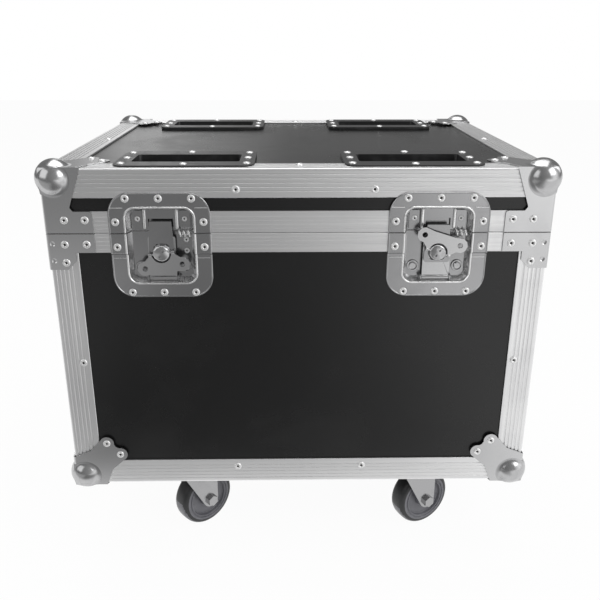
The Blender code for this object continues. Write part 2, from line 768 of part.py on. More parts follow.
def make_stacking_cups(lid):
    for corner, (side_x, side_y) in CORNERS.items():
        frame = cup_frame(side_x, side_y)
        flange = plate(centred_outline(CUP_WIDTH, CUP_LENGTH, CUP_ROUND), SEAT, SHEET_OUTER, frame)
        cup = add_part(f"stacking_cup_{corner}", flange, BLACK_STEEL, lid)
        outer = centred_outline(CUP_HOLE_WIDTH, CUP_HOLE_LENGTH, CUP_HOLE_ROUND, SHEET)
        inner = centred_outline(CUP_HOLE_WIDTH, CUP_HOLE_LENGTH, CUP_HOLE_ROUND)
        join(cup, plate(outer, -CUP_DEPTH - SHEET, SEAT + SHEET / 2, frame))
        seat_edge = CUP_INSET - EDGE_LEG - SEAT
        inner_edge = CUP_LENGTH / 2 - PLATE_STAGGER
        low, high = sorted((side_y * seat_edge, -side_y * inner_edge))
        half = CUP_WIDTH / 2 - PLATE_STAGGER
        radii = [0, 0, CUP_ROUND, CUP_ROUND] if side_y < 0 else [CUP_ROUND, CUP_ROUND, 0, 0]
        pad = rounded_rectangle(-half, low, half, high, radii)
        join(cup, plate(pad, -PANEL_INSET + SEAT, SEAT + SHEET / 2, frame))
        cut(cup, plate(inner, -CUP_DEPTH, OVERSHOOT, frame))


# Twist latches


def pan_outline(low, high, radii, grow):
    half = PAN_HALF_WIDTH + grow
    return rounded_rectangle(-half, low, half, high, radii)


def make_lid_dish(name, spread, lid):
    """Upper half of the latch's dish, with the slotted catch that the hook pulls on."""
    frame = face_frame("front", spread, SPLIT)
    low = SEAT * 2
    half = LATCH_WIDTH / 2
    flange = rounded_rectangle(-half, low, half, LATCH_RISE, [0, 0, LATCH_ROUND, LATCH_ROUND])
    dish = add_part(name, plate(flange, SEAT, SHEET_OUTER, frame), ZINC, lid)
    top_round = PAN_ROUND + SHEET
    outer = pan_outline(low, PAN_RISE + SHEET, [0, 0, top_round, top_round], SHEET)
    inner = pan_outline(low - OVERSHOOT, PAN_RISE, [0, 0, PAN_ROUND, PAN_ROUND], 0.0)
    join(dish, plate(outer, -PAN_DEPTH - SHEET, SEAT + SHEET / 2, frame))
    cut(dish, plate(inner, -PAN_DEPTH, OVERSHOOT, frame))
    wide, root = CATCH_HALF_WIDTH, -PAN_DEPTH - SHEET / 2
    join(dish, box((-wide, CATCH_BASE, root), (wide, CATCH_RISE, -CATCH_DEPTH), frame))
    narrow = wide - SHEET
    tunnel_low = -PAN_DEPTH + PLATE_STAGGER
    cut(
        dish,
        box((-narrow, 0, tunnel_low), (narrow, CATCH_RISE + SEAT, -CATCH_DEPTH - SHEET), frame),
        box((-CATCH_SLOT_HALF_WIDTH, CATCH_SLOT_BASE, -CATCH_DEPTH - SHEET * 1.5),
            (CATCH_SLOT_HALF_WIDTH, CATCH_SLOT_RISE, 0), frame),
    )


def make_base_dish(name, spread):
    """Lower half of the dish, stepped down on to the panel, with the pivot pin of the latch's arm."""
    frame = face_frame("front", spread, SPLIT)
    high = -SEAT * 2
    half = LATCH_WIDTH / 2
    step_high = -(BASE_RIM_LEG + 2 * SEAT)
    step_low = step_high - JOGGLE_RUN
    sunk = -PANEL_INSET + SEAT
    profile = [
        (SEAT, high), (SEAT, step_high), (sunk, step_low), (sunk, -LATCH_DROP),
        (sunk + SHEET, -LATCH_DROP), (sunk + SHEET, step_low), (SHEET_OUTER, step_high), (SHEET_OUTER, high),
    ]
    sideways = frame @ Matrix(((0, 0, 1, 0), (0, 1, 0, 0), (1, 0, 0, 0), (0, 0, 0, 1)))
    strip = plate(profile, -half, half, sideways)
    strip.flip_normals()
    dish = add_part(name, strip, ZINC)
    edge = rounded_rectangle(-half - SEAT, -LATCH_DROP - SEAT, half + SEAT, OVERSHOOT,
                             [LATCH_ROUND, LATCH_ROUND, 0, 0])
    combine(dish, "INTERSECT", plate(edge, -2 * OVERSHOOT, OVERSHOOT, frame))
    low_round = PAN_ROUND + SHEET
    outer = pan_outline(-PAN_DROP - SHEET, high, [low_round, low_round, 0, 0], SHEET)
    upper = pan_outline(step_low, high - PLATE_STAGGER, [0, 0, 0, 0], SHEET - PLATE_STAGGER)
    inner = pan_outline(-PAN_DROP, OVERSHOOT, [PAN_ROUND, PAN_ROUND, 0, 0], 0.0)
    join(dish, plate(outer, -PAN_DEPTH - SHEET, sunk + SHEET / 2, frame))
    join(dish, plate(upper, -PAN_DEPTH, SEAT + SHEET / 2, frame))
    cut(dish, plate(inner, -PAN_DEPTH, 2 * OVERSHOOT, frame))
    ear_near = ARM_HALF_WIDTH + PIVOT_EAR_GAP
    ear_far = ear_near + PIVOT_EAR_WALL
    for side in SIDES.values():
        near, far = sorted((side * ear_near, side * ear_far))
        ear = rounded_rectangle(-PIVOT_DROP - 2 * PIVOT_PIN_RADIUS, -PAN_DEPTH - SHEET / 2,
                                -PIVOT_DROP + 2 * PIVOT_PIN_RADIUS, -PIVOT_DEPTH + 2 * PIVOT_PIN_RADIUS,
                                [0, 0, PIVOT_PIN_RADIUS, PIVOT_PIN_RADIUS])
        upright = frame @ Matrix(((0, 0, 1, 0), (1, 0, 0, 0), (0, 1, 0, 0), (0, 0, 0, 1)))
        join(dish, plate(ear, near, far, upright))
    join(dish, cylinder(PIVOT_PIN_RADIUS, -ear_far - SHEET, ear_far + SHEET, pivot_frame(frame)))


def pivot_frame(frame):
    """Frame with its Z along the arm's pivot pin."""
    pivot = Matrix.Translation((0, -PIVOT_DROP, -PIVOT_DEPTH))
    return frame @ pivot @ Matrix.Rotation(math.pi / 2, 4, "Y")


def make_latch_mechanism(side, base):
    """Arm on the pivot pin, hook that slides on the arm, spindle with its cam, and the wing."""
    spread = SIDES[side] * LATCH_SPREAD
    turn = WING_TURN[side]
    rise = PIVOT_DROP - BOSS_DROP
    dish = face_frame("front", spread, SPLIT)
    arm = empty(f"latch_{side}_arm_joint", dish @ Matrix.Translation((0, -PIVOT_DROP, -PIVOT_DEPTH)), base)
    across = Matrix.Rotation(math.pi / 2, 4, "Y")

    arm_near = -ARM_WALL / 2
    arm_far = ARM_WALL / 2
    strap = rounded_rectangle(-ARM_HALF_WIDTH, 0, ARM_HALF_WIDTH, ARM_REACH, [0, 0, ARM_ROUND, ARM_ROUND])
    piece = add_part(f"latch_{side}_arm", plate(strap, arm_near, arm_far), ZINC, arm, local=True)
    knuckle_half = ARM_HALF_WIDTH - PLATE_STAGGER
    join(piece, cylinder(ARM_KNUCKLE_RADIUS, -knuckle_half, knuckle_half, across))
    bore = PIVOT_PIN_RADIUS + SEAT
    cut(piece, cylinder(bore, -2 * ARM_HALF_WIDTH, 2 * ARM_HALF_WIDTH, across))
    cut(piece, cylinder(SHAFT_RADIUS + SEAT, -OVERSHOOT, OVERSHOOT, Matrix.Translation((0, rise, 0))))

    hook_near = arm_far + SEAT
    hook_far = hook_near + HOOK_WALL
    slot_rise = rise + CAM_THROW * math.cos(turn)
    hook_frame = arm.matrix_world @ Matrix.Translation((0, slot_rise, 0))
    hook = empty(f"latch_{side}_hook_joint", hook_frame, arm)
    strap = rounded_rectangle(-HOOK_HALF_WIDTH, -HOOK_TAIL, HOOK_HALF_WIDTH, HOOK_REACH,
                              [HOOK_ROUND, HOOK_ROUND, HOOK_TIP_ROUND, HOOK_TIP_ROUND])
    piece = add_part(f"latch_{side}_hook", plate(strap, hook_near, hook_far), ZINC, hook, local=True)
    lip_half = HOOK_HALF_WIDTH - HOOK_LIP_INSET
    lip_deep = PIVOT_DEPTH - CATCH_DEPTH + HOOK_LIP_GAP
    lip_high = HOOK_REACH - PLATE_STAGGER
    lip_top = hook_far - HOOK_LIP_SKIN
    join(piece, box((-lip_half, HOOK_REACH - HOOK_LIP, lip_deep), (lip_half, lip_high, lip_top)))
    slot_half = CAM_RADIUS + CAM_THROW + SEAT
    slot_high = CAM_RADIUS + CAM_SLOT_PLAY
    slot = rounded_rectangle(-slot_half, -slot_high, slot_half, slot_high, [CAM_SLOT_ROUND] * 4)
    cut(piece, plate(slot, -OVERSHOOT, OVERSHOOT))

    spindle_frame = arm.matrix_world @ Matrix.Translation((0, rise, 0)) @ Matrix.Rotation(turn, 4, "Z")
    spindle = empty(f"latch_{side}_spindle_joint", spindle_frame, arm)
    boss_base = hook_far + RUNNING_GAP
    boss_top = PIVOT_DEPTH + BOSS_PROUD
    collar_far = arm_near - RUNNING_GAP
    profile = [(0, boss_top), (BOSS_CROWN_RADIUS, boss_top - BOSS_CROWN_DROP),
               (BOSS_FACE_RADIUS, boss_top - BOSS_DOME), (BOSS_RADIUS, boss_base),
               (SHAFT_RADIUS, boss_base), (SHAFT_RADIUS, collar_far),
               (COLLAR_RADIUS, collar_far), (COLLAR_RADIUS, collar_far - COLLAR_WALL),
               (0, collar_far - COLLAR_WALL)]
    piece = add_part(f"latch_{side}_spindle", turned(profile), ZINC, spindle, local=True)
    cam = Matrix.Translation((0, CAM_THROW, 0))
    join(piece, cylinder(CAM_RADIUS, arm_far + SEAT / 2, boss_base + SEAT, cam))
    wing_rise = PIVOT_DEPTH + WING_LEVEL
    lateral = Matrix.Translation((0, 0, wing_rise)) @ across
    barrel_near = BOSS_RADIUS + 2 * RUNNING_GAP
    barrel_far = barrel_near + WING_BARREL_LENGTH
    join(piece, cylinder(WING_PIN_RADIUS, -barrel_far, barrel_far, lateral, 8))

    wing_frame = spindle.matrix_world @ Matrix.Translation((0, 0, wing_rise))
    wing = empty(f"latch_{side}_wing_joint", wing_frame, spindle)
    piece = add_part(f"latch_{side}_wing", plate(wing_outline(barrel_far), -WING_WALL / 2, WING_WALL / 2),
                     ZINC, wing, local=True)
    for sign in SIDES.values():
        near, far = sorted((sign * barrel_near, sign * barrel_far))
        join(piece, cylinder(WING_BARREL_RADIUS, near, far, across, 8))
    cut(piece, cylinder(WING_PIN_RADIUS + SEAT, -2 * barrel_far, 2 * barrel_far, across, 8))
    for sign in SIDES.values():
        place = Matrix.Translation((sign * WING_HOLE_SPREAD, -WING_HOLE_REACH, 0))
        cut(piece, cylinder(WING_HOLE_RADIUS, -OVERSHOOT, OVERSHOOT, place, 10))


def wing_outline(barrel_far):
    """Butterfly wing hanging along -Y from its pin, notched round the spindle's boss."""
    lobe = (WING_HOLE_SPREAD, -WING_HOLE_REACH)
    notch = BOSS_RADIUS + 1.5 * RUNNING_GAP
    root = -PLATE_STAGGER
    right = [(barrel_far, root), (barrel_far, -WING_ROOT)]
    right += arc(lobe, WING_LOBE_RADIUS, 100, -80, 5)
    right += [(WING_HOLE_SPREAD - WING_LOBE_RADIUS, -WING_EDGE_REACH)]
    left = [(-x, y) for x, y in reversed(right)]
    inner = arc((0, 0), notch, 185, 355, 7)
    return right + left + inner


def make_latches(base, lid):
    for side, sign in SIDES.items():
        make_base_dish(f"latch_{side}_base_dish", sign * LATCH_SPREAD)
        make_lid_dish(f"latch_{side}_lid_dish", sign * LATCH_SPREAD, lid)
        make_latch_mechanism(side, base)


# Hinges


def make_hinges(lid):
    for side, sign in SIDES.items():
        frame = face_frame("back", -sign * HINGE_SPREAD, SPLIT)
        axis = frame @ Matrix.Translation((0, 0, HINGE_AXIS_OUT)) @ Matrix.Rotation(math.pi / 2, 4, "Y")
        half = HINGE_LENGTH / 2
        inner = half - HINGE_OUTER_KNUCKLE
        leaf_far = SEAT + HINGE_LEAF
        tab_far = leaf_far - PLATE_STAGGER

        foot = BASE_RIM_LEG - HINGE_LEAF_MARGIN
        strip = rounded_rectangle(-half, -foot, half, -HINGE_LEAF_RELIEF, [HINGE_ROUND, HINGE_ROUND, 0, 0])
        leaf = add_part(f"hinge_{side}_base_leaf", plate(strip, SEAT, leaf_far, frame), ZINC)
        for end in SIDES.values():
            near, far = sorted((end * inner, end * (half - PLATE_STAGGER)))
            tab_low = -2 * HINGE_LEAF_RELIEF
            join(leaf, box((near, tab_low, SEAT + PLATE_STAGGER), (far, -2 * SEAT, tab_far), frame))
            near, far = sorted((end * (inner + PLATE_STAGGER), end * half))
            join(leaf, cylinder(HINGE_KNUCKLE_RADIUS, near, far, axis))
        join(leaf, cylinder(HINGE_PIN_RADIUS, -half + SEAT, half - SEAT, axis))

        head = LID_RIM_LEG - HINGE_LEAF_MARGIN
        strip = rounded_rectangle(-half, HINGE_LEAF_RELIEF, half, head, [0, 0, HINGE_ROUND, HINGE_ROUND])
        leaf = add_part(f"hinge_{side}_lid_leaf", plate(strip, SEAT, leaf_far, frame), ZINC, lid)
        centre = inner - RUNNING_GAP
        tab_high = 2 * HINGE_LEAF_RELIEF
        join(leaf, box((-centre, 2 * SEAT, SEAT + PLATE_STAGGER), (centre, tab_high, tab_far), frame))
        middle = centre - PLATE_STAGGER
        join(leaf, cylinder(HINGE_KNUCKLE_RADIUS, -middle, middle, axis))
        cut(leaf, cylinder(HINGE_PIN_RADIUS + HINGE_PIN_PLAY, -half, half, axis))


# Side handles


def bail_route():
    """Half of the bail's bar, from its end in the ear to the middle of the grip."""
    side, bend = BAIL_HALF_WIDTH, BAIL_BEND
    end = HANDLE_PAN_HALF_WIDTH - RUNNING_GAP - SHEET
    upper = arc((side + bend / 2, -bend / 2), bend / 2, 90, 180, 2)
    lower = arc((side - bend, -BAIL_DROP + bend), bend, 0, -90, 3)
    return [(end, 0.0)] + upper + lower


def make_handles(base):
    for face in SIDES:
        frame = face_frame(face, 0.0, BASE_BOTTOM + HANDLE_HEIGHT)
        sunk = -PANEL_INSET + SEAT
        flange = centred_outline(HANDLE_WIDTH, HANDLE_RISE, HANDLE_ROUND)
        dish = add_part(f"handle_{face}_dish", plate(flange, sunk, sunk + SHEET, frame), ZINC)
        pan = (2 * HANDLE_PAN_HALF_WIDTH, 2 * HANDLE_PAN_HALF_RISE, HANDLE_PAN_ROUND)
        outer = centred_outline(*pan, SHEET)
        join(dish, plate(outer, -HANDLE_PAN_DEPTH - SHEET, sunk + SHEET / 2, frame))
        cut(dish, plate(centred_outline(*pan), -HANDLE_PAN_DEPTH, OVERSHOOT, frame))
        ear_far = HANDLE_PAN_HALF_WIDTH + SHEET / 2
        ear_near = HANDLE_PAN_HALF_WIDTH - BAIL_EAR_WALL
        root = -HANDLE_PAN_DEPTH - SHEET / 2
        pivot = frame @ Matrix.Translation((0, BAIL_PIVOT_RISE, -BAIL_DEPTH))
        across = Matrix.Rotation(math.pi / 2, 4, "Y")
        for sign in SIDES.values():
            near, far = sorted((sign * ear_near, sign * ear_far))
            low, high = BAIL_PIVOT_RISE - BAIL_EAR_HALF_RISE, BAIL_PIVOT_RISE + BAIL_EAR_HALF_RISE
            join(dish, box((near, low, root), (far, high, sunk), frame))
            near, far = sorted((sign * (ear_near - OVERSHOOT), sign * HANDLE_PAN_HALF_WIDTH))
            cut(dish, cylinder(BAIL_RADIUS + SEAT, near, far, pivot @ across))

        joint = empty(f"handle_{face}_joint", pivot, base)
        half = bail_route()
        route = [(x, y, 0.0) for x, y in half] + [(-x, y, 0.0) for x, y in reversed(half)]
        bail = add_part(f"handle_{face}_bail", rod(route, BAIL_RADIUS), ZINC, joint, local=True)
        grip = Matrix.Translation((0, -BAIL_DROP, 0)) @ across
        length = GRIP_HALF_LENGTH
        nose = GRIP_RADIUS - BAIL_RADIUS
        profile = [(0, length), (BAIL_RADIUS, length), (GRIP_RADIUS, length - nose),
                   (GRIP_RADIUS, nose - length), (BAIL_RADIUS, -length), (0, -length)]
        join(bail, turned(profile, grip))


# Castors


def fork_outline(top, axle):
    """Fork leg: straight along the wheel's far side, raked on the near side, round at the axle."""
    far = FORK_TRAIL + FORK_AXLE_BOSS
    foot = arc((FORK_TRAIL, axle), FORK_AXLE_BOSS, 0, -150, 4)
    return [(-FORK_BACK, top), (-FORK_BACK, top - 2 * CROWN_WALL)] + foot[::-1] + [(far, top)]


def make_castor(corner, base):
    side_x, side_y = CORNERS[corner]
    place = Vector((side_x * CASTOR_SPREAD, side_y * (HALF_DEPTH - CASTOR_INSET), 0))
    upright = Matrix.Translation(place)
    plate_high = BASE_BOTTOM + PANEL_INSET - SEAT
    plate_low = plate_high - CASTOR_PLATE_WALL
    race_low = plate_low - RACE_HEIGHT
    crown_high = race_low - RUNNING_GAP
    crown_low = crown_high - CROWN_WALL
    head_high = crown_low - RUNNING_GAP
    top_plate = plate(centred_outline(CASTOR_PLATE, CASTOR_PLATE, CASTOR_PLATE_ROUND), plate_low, plate_high)
    top_plate.transform(upright)
    piece = add_part(f"castor_{corner}_plate", top_plate, ZINC)
    profile = [(0, plate_low + CASTOR_PLATE_WALL / 2), (RACE_RADIUS, plate_low + CASTOR_PLATE_WALL / 2),
               (RACE_RADIUS, race_low + RACE_HEIGHT / 2), (RACE_RADIUS - RACE_HEIGHT / 2, race_low),
               (KINGPIN_RADIUS, race_low), (KINGPIN_RADIUS, head_high), (KINGPIN_HEAD_RADIUS, head_high),
               (KINGPIN_HEAD_RADIUS, head_high - KINGPIN_HEAD), (0, head_high - KINGPIN_HEAD)]
    join(piece, turned(profile, upright))

    turned_frame = upright @ Matrix.Rotation(CASTOR_TURN[corner], 4, "Z")
    fork_joint = empty(f"castor_{corner}_swivel", turned_frame, base)
    axle_height = WHEEL_RADIUS * math.cos(math.pi / WHEEL_STEPS)
    leg_near = WHEEL_HUB_HALF_WIDTH + RUNNING_GAP
    leg_far = leg_near + FORK_WALL
    crown = turned([(0, crown_high), (CROWN_RADIUS - CROWN_WALL / 2, crown_high),
                    (CROWN_RADIUS, crown_high - CROWN_WALL / 2), (CROWN_RADIUS, crown_low), (0, crown_low)])
    fork = add_part(f"castor_{corner}_fork", crown, ZINC, fork_joint, local=True)
    leg_top = crown_low + CROWN_WALL / 2
    side_on = Matrix(((1, 0, 0, 0), (0, 0, -1, 0), (0, 1, 0, 0), (0, 0, 0, 1)))
    bridge_far = FORK_TRAIL + FORK_AXLE_BOSS - PLATE_STAGGER
    bridge_low = crown_low - PLATE_STAGGER
    join(fork, box((-FORK_BACK + PLATE_STAGGER, -leg_far + PLATE_STAGGER, bridge_low),
                   (bridge_far, leg_far - PLATE_STAGGER, leg_top - PLATE_STAGGER)))
    for sign in SIDES.values():
        near, far = sorted((sign * leg_near, sign * leg_far))
        join(fork, plate(fork_outline(leg_top, axle_height), near, far, side_on))
    axle = Matrix.Translation((FORK_TRAIL, 0, axle_height)) @ Matrix.Rotation(math.pi / 2, 4, "X")
    join(fork, cylinder(AXLE_RADIUS, -leg_far - SEAT, leg_far + SEAT, axle))
    for sign in SIDES.values():
        near, far = sorted((sign * (leg_far - FORK_WALL / 2), sign * (leg_far + AXLE_NUT)))
        join(fork, cylinder(AXLE_NUT_RADIUS, near, far, axle, 6))
    cut(fork, cylinder(KINGPIN_RADIUS + RUNNING_GAP, crown_low - OVERSHOOT, crown_high + OVERSHOOT))

    wheel_frame = fork_joint.matrix_world @ Matrix.Translation((FORK_TRAIL, 0, axle_height))
    wheel_joint = empty(f"castor_{corner}_axle", wheel_frame, fork_joint)
    facet = Matrix.Rotation(math.pi / 2, 4, "X") @ Matrix.Rotation(math.pi / WHEEL_STEPS, 4, "Z")
    flank = WHEEL_RADIUS - WHEEL_SHOULDER
    half = [(WHEEL_HUB_RADIUS, WHEEL_HUB_HALF_WIDTH), (WHEEL_HUB_RADIUS, WHEEL_WEB_HALF_WIDTH),
            (WHEEL_RIM_RADIUS, WHEEL_WEB_HALF_WIDTH), (WHEEL_RIM_RADIUS, WHEEL_HALF_WIDTH),
            (flank, WHEEL_HALF_WIDTH), (WHEEL_RADIUS, WHEEL_HALF_WIDTH - WHEEL_SHOULDER)]
    bore = AXLE_RADIUS + RUNNING_GAP
    profile = [(bore, WHEEL_HUB_HALF_WIDTH)] + half + [(r, -z) for r, z in reversed(half)]
    profile += [(bore, -WHEEL_HUB_HALF_WIDTH)]
    wheel = turned(profile, facet, WHEEL_STEPS, closed=True)
    add_part(f"castor_{corner}_wheel", wheel, TYRE, wheel_joint, local=True)


def main():
    base = empty("base_frame", Matrix())
    lid = empty("lid_joint", Matrix.Translation((0, HALF_DEPTH + HINGE_AXIS_OUT, SPLIT)), base)
    make_base_panels()
    make_base_edging()
    make_base_rim()
    make_base_corners()
    make_lid_shell(lid)
    make_lid_corners(lid)
    make_stacking_cups(lid)
    make_latches(base, lid)
    make_hinges(lid)
    make_handles(base)
    for corner in CORNERS:
        make_castor(corner, base)


main()
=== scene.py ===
"""Dressed scene of a hard equipment case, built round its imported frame.

Plywood in fluted aluminium, pressed ball corners, twist latches, stacking cups, handles and castors.
All sizes are in metres, in the frame's own axes: the front faces -Y and +Z is up.
"""

from __future__ import annotations

import json
import logging
import math
from dataclasses import dataclass, field
from enum import Enum
from typing import Callable, Sequence

import bmesh
import bpy
from mathutils import Matrix, Vector

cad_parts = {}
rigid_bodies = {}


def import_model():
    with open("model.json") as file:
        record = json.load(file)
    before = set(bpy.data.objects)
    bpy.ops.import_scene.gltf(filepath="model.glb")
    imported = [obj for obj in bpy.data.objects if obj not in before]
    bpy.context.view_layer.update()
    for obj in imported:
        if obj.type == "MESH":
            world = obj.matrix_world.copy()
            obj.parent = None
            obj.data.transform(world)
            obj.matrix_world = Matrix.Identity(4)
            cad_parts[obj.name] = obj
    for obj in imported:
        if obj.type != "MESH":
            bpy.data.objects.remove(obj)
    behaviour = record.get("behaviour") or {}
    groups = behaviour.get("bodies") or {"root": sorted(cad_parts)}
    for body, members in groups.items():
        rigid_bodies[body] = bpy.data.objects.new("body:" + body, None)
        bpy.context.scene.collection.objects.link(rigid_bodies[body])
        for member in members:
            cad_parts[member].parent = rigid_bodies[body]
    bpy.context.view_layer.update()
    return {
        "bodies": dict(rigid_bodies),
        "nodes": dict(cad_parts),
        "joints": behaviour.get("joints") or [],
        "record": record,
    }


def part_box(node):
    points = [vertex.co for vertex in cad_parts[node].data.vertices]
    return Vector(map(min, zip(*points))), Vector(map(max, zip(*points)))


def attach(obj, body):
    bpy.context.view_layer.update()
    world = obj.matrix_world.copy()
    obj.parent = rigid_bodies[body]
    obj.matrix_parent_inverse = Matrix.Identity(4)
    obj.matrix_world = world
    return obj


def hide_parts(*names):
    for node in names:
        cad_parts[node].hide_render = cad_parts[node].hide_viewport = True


LOG = logging.getLogger("equipment_case")
MERGE_DISTANCE = 2e-5
WELD_DISTANCE = 2e-6
FLAT_ANGLE = math.radians(0.8)
CREASE_ANGLE = math.radians(36.0)
FACET_ANGLES = (math.radians(9.0), math.radians(58.0))
BROAD_SHARE = 4.0
LEVEL_ANGLE = math.radians(0.5)
EXTRUSION_CREASE = math.radians(20.0)
FACET_SHARE = 0.42
FACET_STEPS = 3
SAME_POINT = 1e-7
NO_LENGTH = 1e-8
SEAT = 0.0003
SHEET = 0.0012
SHEET_OUTER = SEAT + SHEET
PANEL_INSET = 0.0023

Point2 = tuple[float, float]
Point4 = tuple[float, float, float, float]
Colour = tuple[float, float, float]
Shape = bmesh.types.BMesh
Piece = bpy.types.Object
Material = bpy.types.Material
Tree = bpy.types.NodeTree
Node = bpy.types.Node
Socket = bpy.types.NodeSocket
Test = Callable[[Vector], bool]
Move = Callable[[Vector], Vector]


def framed(*columns: Vector) -> Matrix:
    """Matrix from its three axes and its place."""
    rows = [[column[i] for column in columns] for i in range(3)]
    return Matrix((*rows, (0, 0, 0, 1)))


def aimed(place: Vector, axis: Vector) -> Matrix:
    """Frame at a place with its Z along an axis."""
    return Matrix.Translation(place) @ axis.to_track_quat("Z", "Y").to_matrix().to_4x4()


class Face(Enum):
    """An outer face of the case, by its across and up directions."""

    FRONT = ((1, 0, 0), (0, 0, 1))
    BACK = ((-1, 0, 0), (0, 0, 1))
    LEFT = ((0, -1, 0), (0, 0, 1))
    RIGHT = ((0, 1, 0), (0, 0, 1))
    TOP = ((1, 0, 0), (0, 1, 0))
    BOTTOM = ((-1, 0, 0), (0, 1, 0))

    @property
    def across(self) -> Vector:
        """Direction across the face."""
        return Vector(self.value[0])

    @property
    def up(self) -> Vector:
        """Direction up the face."""
        return Vector(self.value[1])

    @property
    def outward(self) -> Vector:
        """Direction out of the face."""
        return self.across.cross(self.up)


class Grain(Enum):
    """Direction in which a length of aluminium is drawn, as the stretch of its grain."""

    ALONG_X = (3.0, 260.0, 260.0)
    ALONG_Y = (260.0, 3.0, 260.0)
    ALONG_Z = (260.0, 260.0, 3.0)


@dataclass(frozen=True)
class CaseSizes:
    """Outer faces and levels of the case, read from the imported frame."""

    half_width: float
    half_depth: float
    bottom: float
    split: float
    top: float

    @classmethod
    def from_frame(cls) -> "CaseSizes":
        """Read the levels from the boxes of the edging.

        Returns:
            The sizes of the case over its aluminium.
        """
        rim_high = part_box("base_rim_frame")[1]
        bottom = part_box("base_edge_frame")[0].z
        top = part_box("lid_edge_frame")[1].z
        return cls(rim_high.x, rim_high.y, bottom, rim_high.z + SEAT / 2, top)

    def on_face(self, face: Face, across: float, up: float, out: float = 0.0) -> Vector:
        """Point on an outer face.

        Args:
            face: The face.
            across: Distance from the face's middle, along its across direction.
            up: World height on an upright face, or distance from the middle on a flat one.
            out: Distance outwards from the face.

        Returns:
            The point in the world.
        """
        reach = {
            Face.FRONT: self.half_depth, Face.BACK: self.half_depth,
            Face.LEFT: self.half_width, Face.RIGHT: self.half_width,
            Face.TOP: self.top, Face.BOTTOM: -self.bottom,
        }[face]
        return face.across * across + face.up * up + face.outward * (reach + out)

    def face_frame(self, face: Face, across: float, up: float) -> Matrix:
        """Frame on a face with X across, Y up and Z out of it.

        Args:
            face: The face.
            across: Distance from the face's middle.
            up: World height on an upright face, or distance from the middle on a flat one.

        Returns:
            The frame's matrix.
        """
        return framed(face.across, face.up, face.outward, self.on_face(face, across, up))

    def half_across(self, face: Face) -> float:
        """Half of an upright face's width."""
        return self.half_width if face in (Face.FRONT, Face.BACK) else self.half_depth


# Shaping


